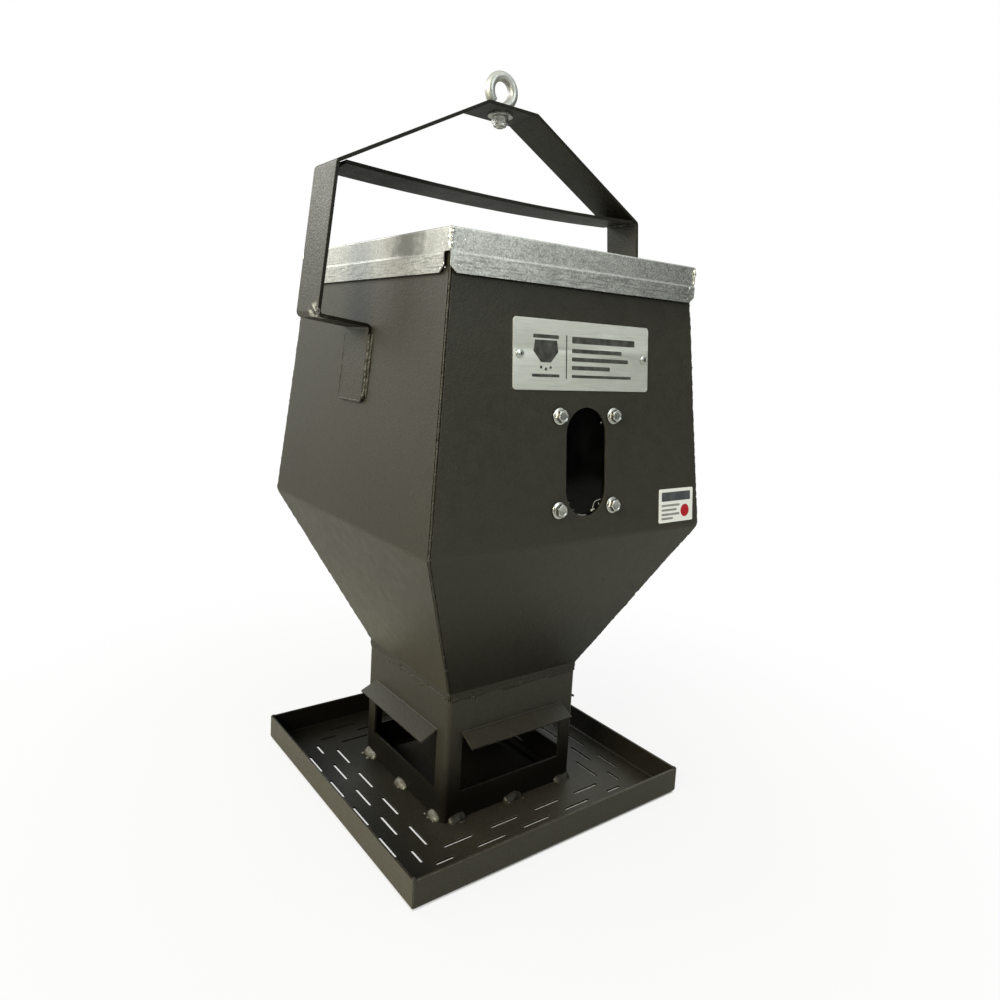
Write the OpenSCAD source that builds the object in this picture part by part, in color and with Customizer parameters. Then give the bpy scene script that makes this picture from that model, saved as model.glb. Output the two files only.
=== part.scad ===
// Gravity game feeder: a square sheet-steel hopper on a ported neck and a slotted feeding tray,
// with a lift-off lid and a hanging strap. The origin is the centre of the tray's underside,
// +Z is up, and the front, which carries the nameplate and the sight window, faces -Y.

/* [Sheet] */
// Thickness of the painted steel sheet
sheet_t = 2; // [1.5:0.1:2.5]
// Inside radius of the ordinary bends in the sheet
bend_r = 2; // [1:0.5:3]
// Gap left on each side of a folded pan's mitred corner
mitre_gap = 0.4; // [0.2:0.1:0.8]
// Gap left on each side of a hopper corner, which the seam weld fills
seam_gap = 1.9; // [0.6:0.1:2]

/* [Tray] */
// Outside width of the square tray
tray_w = 304.8; // [290:0.1:320]
// Height of the tray's rim
rim_h = 25.4; // [20:0.1:32]
// Length of a full drain slot
slot_l = 32; // [26:1:36]
// Length of the short drain slots at the ends of the middle rows
short_slot_l = 19; // [14:1:20]
// Width of a drain slot
slot_w = 3; // [2:0.5:4]
// Spacing of the slots along a row
slot_pitch = 50.8; // [46:0.1:54]
// Spacing between the rows of slots
row_pitch = 15.24; // [12:0.01:16]
// Distance from the tray's edge to the outer row of slots
row_inset = 19.8; // [18:0.1:22]

/* [Neck] */
// Outside width of the square neck
neck_w = 152.4; // [146:0.1:156]
// Outside radius of the neck's folded corners
neck_corner_r = 5; // [3:0.5:8]
// Width of a feed port
port_w = 119; // [100:1:120]
// Height of a port's sill above the ground
port_z = 28; // [26:1:34]
// Height of a port's opening
port_h = 56.5; // [45:0.5:60]
// Length of the flap that hoods a port
hood_l = 20; // [12:1:24]
// Angle of the flap below the horizontal
hood_droop = 24; // [10:1:40]

/* [Diverter] */
// Width of the pyramid that spreads the feed to the ports
diverter_w = 132; // [90:1:138]
// Height of the pyramid above the tray floor
diverter_h = 40; // [30:1:60]

/* [Hopper] */
// Height of the joint between the neck and the sloping walls
throat_z = 125; // [118:1:132]
// Height of the upright flange that stands on the neck
throat_flange = 7; // [5:0.5:10]
// Outside width at the hopper's widest line
waist_w = 304.8; // [300:0.1:310]
// Height of the widest line
waist_z = 275.6; // [265:0.1:285]
// Inside radius of the bend at the widest line
waist_r = 8; // [4:0.5:12]
// Lean of the upper walls inward from the vertical
wall_lean = 4.84; // [4:0.01:5.5]

/* [Sight window] */
// Distance up the wall from the waist to the window's centre
sight_s = 66.9; // [60:0.1:75]
// How far right of the front's middle the window's centre sits
sight_x = 3.6; // [-6:0.1:6]
// Width of the round-ended window
sight_w = 45.6; // [38:0.1:46]
// Height of the round-ended window
sight_h = 92; // [80:0.5:92]
// Width of the clear pane behind it
pane_w = 82; // [78:1:90]
// Height of the clear pane behind it
pane_h = 104; // [98:1:108]
// Thickness of the clear pane
pane_t = 3; // [2:0.5:4]
// Spacing of the window bolts across
bolt_dx = 61.6; // [58:0.1:66]
// Spacing of the window bolts up the wall
bolt_dy = 77.5; // [72:0.1:82]

/* [Nameplate and label] */
// Width of the nameplate
plate_w = 153; // [140:1:160]
// Height of the nameplate
plate_h = 57; // [50:1:60]
// Distance up the wall from the waist to the nameplate's centre
plate_s = 155.4; // [150:0.1:160]
// Thickness of the nameplate
plate_t = 0.8; // [0.5:0.1:1.5]
// Spacing of the nameplate's rivets
rivet_dx = 140; // [130:1:142]
// Width of the label
label_w = 47.5; // [40:0.5:50]
// Height of the label
label_h = 31.5; // [25:0.5:34]
// Distance of the label's centre from the front's centre line
label_x = 119; // [110:1:120]
// Distance up the wall from the waist to the label's centre
label_s = 21.7; // [20:0.1:30]

/* [Lid] */
// Outside width of the lid's lower band
lid_w = 275; // [273.5:0.1:280]
// Height of the lid's top
lid_z = 519.3; // [515:0.1:524]
// Height of the lid's skirt
skirt_h = 33.3; // [28:0.1:38]
// Height of the band that stands proud at the skirt's lower edge
band_h = 14.5; // [10:0.5:16]
// How far the band stands proud
band_step = 1.2; // [0.8:0.1:1.2]
// Thickness of the galvanised sheet
lid_t = 1; // [0.8:0.1:1.1]
// Distance the front and back bands stop short of the lid's corners
front_setback = 1.6; // [1.2:0.1:4]
// Distance the bands at the sides stop short of the lid's corners
side_setback = 8; // [2:0.5:12]

/* [Handle] */
// Width of the handle's flat bar
strap_w = 44.7; // [40:0.1:50]
// Thickness of the handle's flat bar
strap_t = 3.2; // [2.5:0.1:4]
// Height of the handle's flat top
strap_top_z = 656.8; // [640:0.1:670]
// Half the length of the flat top
strap_top_half = 28.4; // [24:0.1:34]
// Half the width across the shoulders
shoulder_half = 174.8; // [168:0.1:180]
// Height of the shoulders
shoulder_z = 577; // [570:0.1:585]
// Half the width across the feet of the legs
foot_half = 187.9; // [180:0.1:192]
// Height of the feet of the legs
foot_z = 450.8; // [445:0.1:455]
// How far the foot drops on its way in to the wall
foot_drop = 6; // [0:0.5:10]
// Height of the lower end of the tabs
tab_z = 382.2; // [375:0.1:395]
// How far the cross bar sags in the middle
bar_bow = 4.5; // [0:0.5:8]

/* [Hanging eye] */
// Diameter of the eye bolt's rod
eye_rod_d = 9.5; // [8:0.1:10]
// Outside diameter of the ring
ring_d = 36.5; // [34:0.5:42]
// Radius of the narrow flat land worn inside the ring
eye_bore_r = 8.95; // [8.85:0.05:9.25]

/* [Hidden] */
$fn = 48;

// Clear of any part of the model
FAR = 400;
// Clearance between pieces that are pressed together but not joined
TOUCH = 0.02;
SIDES = [0, 90, 180, 270];
// Half the depth of a cut made right through a wall
CUT = 10;

tray_half = tray_w / 2;
neck_half = neck_w / 2;
neck_top_z = throat_z - throat_flange;
waist_half = waist_w / 2;
hopper_top_z = lid_z - lid_t - 0.1;
lid_half = lid_w / 2;
lid_low_z = lid_z - skirt_h;
// How far the skirts' section runs in over the lid's top
lid_rim = 12;
// Height of the upright strip by which a hood hangs from the neck's wall
hood_root = 6;
eye_rod_r = eye_rod_d / 2;
ring_r = ring_d / 2 - eye_rod_r;
ring_z = strap_top_z + 0.3 + ring_d / 2;

paint = "#4b4942";
zinc = "#c9cac6";
galvanised = "#b9bcb6";
aluminium = "#c4c4be";

// ---- Bent sheet in section ----

// Direction of travel from point a to point b
function heading(a, b) = atan2(b.y - a.y, b.x - a.x);

// Angle turned at b on the way a-b-c, positive to the left
function turn(a, b, c) = let (d = heading(b, c) - heading(a, b)) d - 360 * round(d / 360);

// Unit step in a direction, and the unit step to its left
function step(angle) = [cos(angle), sin(angle)];
function left_of(angle) = [-sin(angle), cos(angle)];

// The path p moved sideways by d, to the left when d is positive
function shifted(p, d) = [
    for (i = [0 : len(p) - 1])
        i == 0 ? p[0] + d * left_of(heading(p[0], p[1]))
        : i == len(p) - 1 ? p[i] + d * left_of(heading(p[i - 1], p[i]))
        : let (
            n1 = left_of(heading(p[i - 1], p[i])),
            n2 = left_of(heading(p[i], p[i + 1]))
        ) p[i] + d * (n1 + n2) / (1 + n1 * n2)
];

// Points of the round bend of radius r at b on the way a-b-c
function bend(a, b, c, r) = let (
    h = heading(a, b),
    w = turn(a, b, c),
    side = sign(w),
    start = b - step(h) * r * tan(abs(w) / 2),
    centre = start + left_of(h) * r * side,
    n = max(2, ceil(abs(w) / 9))
) [for (i = [0 : n]) centre - left_of(h + w * i / n) * r * side];

// The path p with its inner corners rounded: sharp is the radius where the path turns left,
// and wide is the radius where it turns right
function rounded(p, sharp, wide) = [
    p[0],
    for (i = [1 : len(p) - 2])
        each bend(p[i - 1], p[i], p[i + 1], turn(p[i - 1], p[i], p[i + 1]) > 0 ? sharp : wide),
    p[len(p) - 1]
];

function reversed(p) = [for (i = [len(p) - 1 : -1 : 0]) p[i]];

// Section of a strip of thickness t, bent along the path p, with its metal to the path's left
module strip(p, t, r) {
    near = rounded(p, r + t, r);
    far = rounded(shifted(p, t), r, r + t);
    polygon(concat(near, reversed(far)));
}

// A section drawn as [distance from the middle, height], run along the front side
module run_front(length) {
    rotate([90, 0, 90]) linear_extrude(length, center = true) mirror([1, 0]) children();
}

// Keeps what lies in front of the two diagonals, less the gap
module mitred(gap) {
    intersection() {
        children();
        translate([0, 0, -1]) linear_extrude(FAR * 2)
            polygon([[0, -gap], [FAR, -FAR - gap], [-FAR, -FAR - gap]]);
    }
}

module obround(length, width) {
    straight = length - width;
    square([straight, width], center = true);
    for (side = [-1, 1]) translate([side * straight / 2, 0]) circle(d = width);
}

module rounded_rect(w, h, r) {
    square([w - 2 * r, h], center = true);
    square([w, h - 2 * r], center = true);
    for (x = [-1, 1], y = [-1, 1]) translate([x * (w / 2 - r), y * (h / 2 - r)]) circle(r);
}

// A weld bead of radius r from point a to point b, with round ends
module bead(a, b, r) {
    run = b - a;
    flat = norm([run.x, run.y]);
    translate(a) rotate([0, atan2(flat, run.z), atan2(run.y, run.x)]) cylinder(h = norm(run), r = r);
    translate(a) sphere(r);
    translate(b) sphere(r);
}

// ---- Tray ----

// Centres of a row of slots: even rows straddle the middle, odd rows start on it
function row_centres(odd) = odd ? [-1, 0, 1] : [-1.5, -0.5, 0.5, 1.5];

module drain_slots() {
    for (row = [0 : 2]) translate([0, -tray_half + row_inset + row * row_pitch]) {
        for (k = row_centres(row == 1)) translate([k * slot_pitch, 0]) obround(slot_l, slot_w);
        if (row == 1) for (k = [-1, 1])
            translate([k * (2 * slot_pitch - 1.6), 0]) obround(short_slot_l, slot_w);
    }
}

module feed_tray() {
    floor_half = tray_half - sheet_t - bend_r;
    color(paint) union() {
        linear_extrude(sheet_t) difference() {
            square(2 * floor_half, center = true);
            for (a = SIDES) rotate(a) drain_slots();
        }
        for (a = SIDES) rotate([0, 0, a]) mitred(mitre_gap) run_front(tray_w)
            strip([[floor_half - 1, 0], [tray_half, 0], [tray_half, rim_h]], sheet_t, bend_r);
    }
}

module tray_corner_welds() {
    r = 1.3;
    corner = tray_half - r - 0.1;
    color(paint) for (a = SIDES) rotate([0, 0, a])
        bead([corner, -corner, 4], [corner, -corner, rim_h - 1.2], r);
}

// ---- Neck ----

module hood() {
    inside = neck_half - sheet_t;
    fold = [inside, port_z + port_h];
    tip = fold + hood_l * [cos(hood_droop), -sin(hood_droop)];
    run_front(port_w) strip([fold + [0, hood_root], fold, tip], sheet_t, 1);
}

module feed_neck() {
    inner = neck_w - 2 * sheet_t;
    color(paint) union() {
        difference() {
            translate([0, 0, sheet_t]) linear_extrude(neck_top_z - TOUCH - sheet_t) difference() {
                rounded_rect(neck_w, neck_w, neck_corner_r);
                rounded_rect(inner, inner, neck_corner_r - sheet_t);
            }
            for (a = [0, 90]) rotate([0, 0, a]) translate([-port_w / 2, -FAR / 2, port_z])
                cube([port_w, FAR, port_h + hood_root]);
        }
        for (a = SIDES) rotate([0, 0, a]) hood();
    }
}

// Keeps what lies in front of the neck's wall, above the tray's floor
module outside_neck() {
    intersection() {
        children();
        translate([-neck_half, -FAR - neck_half, sheet_t]) cube([neck_w, FAR, waist_z]);
    }
}

// Three short beads in a row along the front of the neck at height z, each sunk a little into it
module neck_beads(z, r, run, spacing) {
    y = -neck_half + 0.3;
    for (k = [-1, 0, 1]) outside_neck() bead([k * spacing - run, y, z], [k * spacing + run, y, z], r);
}

module neck_foot_welds() {
    color(paint) for (a = SIDES) rotate([0, 0, a]) neck_beads(sheet_t, r = 6, run = 8, spacing = 61);
}

module feed_diverter() {
    r = diverter_w / sqrt(2);
    color(paint) translate([0, 0, sheet_t + TOUCH]) rotate([0, 0, 45]) difference() {
        cylinder(h = diverter_h, r1 = r, r2 = 0, $fn = 4);
        translate([0, 0, -sheet_t * 1.5]) cylinder(h = diverter_h, r1 = r, r2 = 0, $fn = 4);
    }
}

// ---- Hopper ----

// Half the hopper's width at height z on the upper walls
function wall_half(z) = waist_half - (z - waist_z) * tan(wall_lean);

// Where the front wall's outside is, s up the wall from the waist; +Z is then straight out of it
module on_wall(x, s) {
    translate([x, -waist_half + s * sin(wall_lean), waist_z + s * cos(wall_lean)])
        rotate([90 - wall_lean, 0, 0]) children();
}

module wall_panel(side) {
    path = [
        [neck_half, neck_top_z],
        [neck_half, throat_z],
        [waist_half, waist_z],
        [wall_half(hopper_top_z), hopper_top_z]
    ];
    rotate([0, 0, side]) mitred(seam_gap) run_front(waist_w) wall_section(path);
}

module wall_section(path) {
    near = [path[0], each bend(path[0], path[1], path[2], bend_r),
        each bend(path[1], path[2], path[3], waist_r + sheet_t), path[3]];
    inside = shifted(path, sheet_t);
    far = [inside[0], each bend(inside[0], inside[1], inside[2], bend_r + sheet_t),
        each bend(inside[1], inside[2], inside[3], waist_r), inside[3]];
    polygon(concat(near, reversed(far)));
}

module front_panel() {
    color(paint) difference() {
        wall_panel(0);
        on_wall(sight_x, sight_s) {
            linear_extrude(2 * CUT, center = true) rotate(90) obround(sight_h, sight_w);
            at_window_bolts() cylinder(h = 2 * CUT, r = bolt_hole_r, center = true);
        }
        on_wall(0, plate_s) at_rivets() cylinder(h = 2 * CUT, r = rivet_hole_r, center = true);
    }
}

module back_panel() {
    color(paint) wall_panel(180);
}

module left_panel() {
    color(paint) wall_panel(-90);
}

module right_panel() {
    color(paint) wall_panel(90);
}

// The seams run in the diagonal planes, so each is a strip bent along the corner's own line
module corner_seam_welds() {
    bead_t = 3;
    sunk = 0.4;
    bite = 0.28;
    bead_w = sqrt(2) * seam_gap + 2 * bite;
    end_gap = 4;
    corner = [
        [neck_half, neck_top_z],
        [neck_half, throat_z],
        [waist_half, waist_z],
        [wall_half(hopper_top_z - end_gap), hopper_top_z - end_gap]
    ];
    path = [for (p = corner) [sqrt(2) * (p.x - seam_gap / 2) - sunk, p.y]];
    color(paint) for (a = SIDES) rotate([0, 0, a + 45]) run_front(bead_w) strip(path, bead_t, waist_r);
}

module throat_welds() {
    color(paint) for (a = SIDES) rotate([0, 0, a]) neck_beads(neck_top_z, r = 2.2, run = 14, spacing = 50);
}

// ---- Sight window ----

bolt_r = 3.1;
bolt_hole_r = 3.5;
flange_r = 7.1;
flange_t = 1.6;
hex_af = 9.5;
hex_h = 5;
bolt_l = 16;
window_nut_af = 11;
window_nut_t = 5.5;

module at_window_bolts() {
    for (x = [-1, 1], y = [-1, 1]) translate([x * bolt_dx / 2, y * bolt_dy / 2]) children();
}

module sight_pane() {
    color([0.8, 0.85, 0.85, 0.35]) on_wall(sight_x, sight_s)
        translate([0, 0, -sheet_t - pane_t - TOUCH]) linear_extrude(pane_t) difference() {
            rounded_rect(pane_w, pane_h, 6);
            at_window_bolts() circle(bolt_hole_r);
        }
}

// A hexagon af across its flats, with its top corners turned off
module hex(af, h) {
    across = af / cos(30);
    intersection() {
        cylinder(h = h, r = across / 2, $fn = 6);
        cylinder(h = h, r1 = across / 2 + h, r2 = af / 2);
    }
}

module window_bolts() {
    color(zinc) on_wall(sight_x, sight_s) at_window_bolts() {
        translate([0, 0, TOUCH]) cylinder(h = flange_t, r1 = flange_r, r2 = flange_r - 0.5);
        translate([0, 0, flange_t / 2]) hex(hex_af, hex_h);
        translate([0, 0, -bolt_l]) cylinder(h = bolt_l + 1, r = bolt_r);
    }
}

module window_nuts() {
    color(zinc) on_wall(sight_x, sight_s) at_window_bolts()
        translate([0, 0, -sheet_t - pane_t - window_nut_t - 2 * TOUCH]) difference() {
            hex(window_nut_af, window_nut_t);
            translate([0, 0, -1]) cylinder(h = window_nut_t + 2, r = bolt_r + TOUCH);
        }
}

// ---- Nameplate and label ----

rivet_r = 2;
rivet_hole_r = 2.1;
rivet_head_r = 3.9;
rivet_head_h = 1.4;
// How far the rivets reach in behind the wall
rivet_tail = 1.5;
rivet_grip = rivet_tail + sheet_t + plate_t + rivet_head_h / 2;

module at_rivets() {
    for (side = [-1, 1]) translate([side * rivet_dx / 2, 0]) children();
}

module nameplate() {
    color(aluminium) on_wall(0, plate_s) translate([0, 0, TOUCH]) linear_extrude(plate_t) difference() {
        rounded_rect(plate_w, plate_h, 3);
        at_rivets() circle(rivet_hole_r);
    }
}

module nameplate_rivets() {
    head_ball_r = (rivet_head_r ^ 2 + rivet_head_h ^ 2) / (2 * rivet_head_h);
    color(zinc) on_wall(0, plate_s) at_rivets() {
        translate([0, 0, plate_t + 2 * TOUCH]) intersection() {
            translate([0, 0, rivet_head_h - head_ball_r]) sphere(head_ball_r);
            cylinder(h = rivet_head_h * 2, r = rivet_head_r);
        }
        translate([0, 0, -sheet_t - rivet_tail]) cylinder(h = rivet_grip, r = rivet_r);
    }
}

module label() {
    color("white") on_wall(label_x, label_s) translate([0, 0, TOUCH]) linear_extrude(0.2)
        rounded_rect(label_w, label_h, 1.5);
}

// ---- Lid ----

// What is cut from both ends of a band: a notch that opens downward
module band_notch(setback) {
    flare_w = 5.8;
    flare_h = 5;
    mouth = setback + flare_w;
    above = band_h + 1;
    for (side = [-1, 1]) translate([side * lid_half, 0, lid_low_z]) rotate([90, 0, 0]) linear_extrude(FAR)
        polygon([
            [-mouth, -1], [-mouth, 0], [-setback, flare_h], [-setback, above],
            [setback, above], [setback, flare_h], [mouth, 0], [mouth, -1]
        ]);
}

module lid_skirt(setback) {
    top_half = lid_half - band_step;
    path = [
        [lid_half, lid_low_z],
        [lid_half, lid_low_z + band_h],
        [top_half, lid_low_z + band_h + band_step],
        [top_half, lid_z],
        [top_half - lid_rim, lid_z]
    ];
    difference() {
        mitred(mitre_gap / 2) run_front(lid_w) strip(path, lid_t, 0.6);
        band_notch(setback);
    }
}

module lid() {
    sheet_half = lid_half - band_step - lid_rim + 1;
    color(galvanised) union() {
        translate([0, 0, lid_z - lid_t]) linear_extrude(lid_t) square(2 * sheet_half, center = true);
        for (a = [0, 180]) rotate([0, 0, a]) lid_skirt(front_setback);
        for (a = [90, 270]) rotate([0, 0, a]) lid_skirt(side_setback);
    }
}

module lid_corner_welds() {
    r = 1.1;
    corner = lid_half - band_step - r;
    color(galvanised) for (a = SIDES) rotate([0, 0, a])
        bead([corner, -corner, lid_low_z + band_h + 3], [corner, -corner, lid_z - r - 0.3], r);
}

// ---- Handle ----

heel_z = foot_z - foot_drop;

module handle_strap() {
    tab_x = wall_half(tab_z) + strap_t / cos(wall_lean) + TOUCH;
    heel_x = wall_half(heel_z) + strap_t / cos(wall_lean) + TOUCH;
    half_path = [
        [tab_x, tab_z], [heel_x, heel_z], [foot_half, foot_z],
        [shoulder_half, shoulder_z], [strap_top_half, strap_top_z]
    ];
    path = concat(half_path, [for (p = reversed(half_path)) [-p.x, p.y]]);
    color(paint) difference() {
        rotate([90, 0, 0]) linear_extrude(strap_w, center = true) strip(path, strap_t, bend_r);
        translate([0, 0, strap_top_z]) cylinder(h = 2 * CUT, r = eye_rod_r + 0.08, center = true);
    }
}

bar_half = shoulder_half - 8.4;
bar_low_z = shoulder_z - 2.6;

module cross_bar() {
    steps = 16;
    low = [
        for (i = [0 : steps]) let (u = 2 * i / steps - 1)
            [u * bar_half, bar_low_z - bar_bow * (1 - u ^ 2)]
    ];
    high = [for (p = reversed(low)) p + [0, strap_t]];
    color(paint) rotate([90, 0, 0]) linear_extrude(strap_w, center = true) polygon(concat(low, high));
}

module cross_bar_welds() {
    bead_r = 2;
    x = bar_half + 2.6;
    y = strap_w / 2 - 4;
    color(paint) for (side = [-1, 1]) bead([side * x, -y, bar_low_z], [side * x, y, bar_low_z], bead_r);
}

// One bead runs up the front edge of each tab and a short one lies under its lower end
module tab_welds() {
    side_r = 2;
    end_r = 1.5;
    y = strap_w / 2;
    low = tab_z + 3;
    high = heel_z - 5;
    proud = 1;
    color(paint) for (side = [-1, 1]) {
        bead([side * (wall_half(low) + proud), -y - 0.6, low],
            [side * (wall_half(high) + proud), -y - 0.6, high], side_r);
        translate([side * (wall_half(tab_z) + proud), 0, tab_z - 0.4])
            bead([0, y / 3, 0], [0, y - 2, 0], end_r);
    }
}

// ---- Hanging eye ----

washer_t = 1.65;
washer_r = 12;
nut_af = 14.3;
nut_hex_t = 6.6;
// The round collar that holds a lock nut's plastic ring
collar_t = 2.6;
eye_nut_t = nut_hex_t + collar_t;
thread_out = 1.2;

module eye_bolt() {
    under = strap_top_z - strap_t;
    tip_z = under - washer_t - eye_nut_t - thread_out;
    color(zinc) difference() {
        union() {
            translate([0, 0, ring_z]) rotate([90, 0, 0]) rotate_extrude()
                translate([ring_r, 0]) circle(eye_rod_r);
            translate([0, 0, tip_z]) cylinder(h = ring_z - ring_r - tip_z, r = eye_rod_r);
        }
        translate([0, 0, ring_z]) rotate([90, 0, 0]) cylinder(h = 2 * CUT, r = eye_bore_r, center = true);
    }
}

module eye_washer() {
    color(zinc) translate([0, 0, strap_top_z - strap_t - washer_t - TOUCH]) difference() {
        cylinder(h = washer_t, r = washer_r);
        translate([0, 0, -1]) cylinder(h = washer_t + 2, r = eye_rod_r + 0.4);
    }
}

// Drawn upside down, so that its collar faces downward once it is turned over
module lock_nut() {
    collar_r = nut_af / 2 - 0.2;
    difference() {
        union() {
            hex(nut_af, nut_hex_t);
            translate([0, 0, nut_hex_t / 2]) cylinder(h = (nut_hex_t + collar_t) / 2, r = collar_r);
            translate([0, 0, nut_hex_t + collar_t / 2])
                cylinder(h = collar_t / 2, r1 = collar_r, r2 = collar_r - 1);
        }
        translate([0, 0, -1]) cylinder(h = eye_nut_t + 2, r = eye_rod_r + TOUCH);
    }
}

module eye_nut() {
    nut_top_z = strap_top_z - strap_t - washer_t - 2 * TOUCH;
    color(zinc) translate([0, 0, nut_top_z]) mirror([0, 0, 1]) lock_nut();
}

feed_tray();
tray_corner_welds();
feed_neck();
neck_foot_welds();
feed_diverter();
front_panel();
back_panel();
left_panel();
right_panel();
corner_seam_welds();
throat_welds();
sight_pane();
window_bolts();
window_nuts();
nameplate();
nameplate_rivets();
label();
lid();
lid_corner_welds();
handle_strap();
cross_bar();
cross_bar_welds();
tab_welds();
eye_bolt();
eye_washer();
eye_nut();
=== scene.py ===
"""The looks of a gravity game feeder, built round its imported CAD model.

Everything is in metres in the CAD's own frame: +Z is up, the middle of the tray's underside is
the origin, and the front of the hopper, with its nameplate and window, faces -Y.
"""

import math
import random

import bpy
import bmesh
from mathutils import Matrix, Vector, noise


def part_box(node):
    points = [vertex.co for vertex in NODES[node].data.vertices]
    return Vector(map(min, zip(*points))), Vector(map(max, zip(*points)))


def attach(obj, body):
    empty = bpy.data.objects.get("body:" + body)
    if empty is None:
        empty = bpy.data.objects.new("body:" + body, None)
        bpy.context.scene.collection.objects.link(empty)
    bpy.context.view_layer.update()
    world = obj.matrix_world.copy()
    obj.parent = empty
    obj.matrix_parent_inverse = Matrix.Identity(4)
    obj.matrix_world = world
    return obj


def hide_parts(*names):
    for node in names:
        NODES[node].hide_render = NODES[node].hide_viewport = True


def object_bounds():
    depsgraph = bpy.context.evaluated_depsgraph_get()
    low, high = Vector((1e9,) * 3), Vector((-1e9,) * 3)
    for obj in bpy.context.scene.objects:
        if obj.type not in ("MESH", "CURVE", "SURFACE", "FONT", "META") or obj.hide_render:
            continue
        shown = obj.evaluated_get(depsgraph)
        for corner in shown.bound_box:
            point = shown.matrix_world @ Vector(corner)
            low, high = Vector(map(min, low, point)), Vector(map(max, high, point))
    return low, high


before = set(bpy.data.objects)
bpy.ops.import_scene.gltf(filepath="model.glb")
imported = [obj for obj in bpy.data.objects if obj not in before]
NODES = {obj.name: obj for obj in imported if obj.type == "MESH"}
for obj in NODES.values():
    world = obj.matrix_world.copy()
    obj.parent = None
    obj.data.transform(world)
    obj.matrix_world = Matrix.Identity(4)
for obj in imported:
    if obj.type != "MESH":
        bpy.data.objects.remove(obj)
cad_low, cad_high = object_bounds()

MM = 0.001
FAR = 1.0
UP = Vector((0, 0, 1))
FRONT = Vector((0, -1, 0))
DIAGONAL = Vector((-1, -1, 0)).normalized()
NO_TURN = Matrix.Identity(4)


# ---- Measures taken from the CAD ----

def hit(node, start, direction):
    """Where a ray first meets a CAD node, and the node's outward normal there."""
    found, place, normal, _ = NODES[node].ray_cast(Vector(start), Vector(direction))
    if not found:
        raise ValueError(f"no part of {node} lies ahead of {tuple(start)}")
    return place, normal


def half_at(node, z):
    """Half the width of a CAD node at height z."""
    return hit(node, (FAR, 0, z), (-1, 0, 0))[0].x


def middle(node):
    low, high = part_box(node)
    return (low + high) / 2


def size(node):
    low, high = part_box(node)
    return high - low


def quarter_turns():
    """The turns that take something made for the front, or front-left corner, round the part."""
    return enumerate(Matrix.Rotation(math.radians(90 * k), 4, "Z") for k in range(4))


def front_frame(x, z):
    """A frame on the outside of the front wall: X along it, Y up it and Z straight out of it."""
    place, normal = hit("front_panel", (x, -FAR, z), (0, 1, 0))
    across = Vector((1, 0, 0))
    rotation = Matrix((across, normal.cross(across), normal)).transposed()
    return Matrix.Translation(place) @ rotation.to_4x4()


NECK_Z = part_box("throat_welds")[0].z - 2 * MM
WALL = front_frame(0, middle("nameplate").z)
WALL_OUT = WALL.to_3x3() @ UP


# ---- Materials ----

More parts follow.
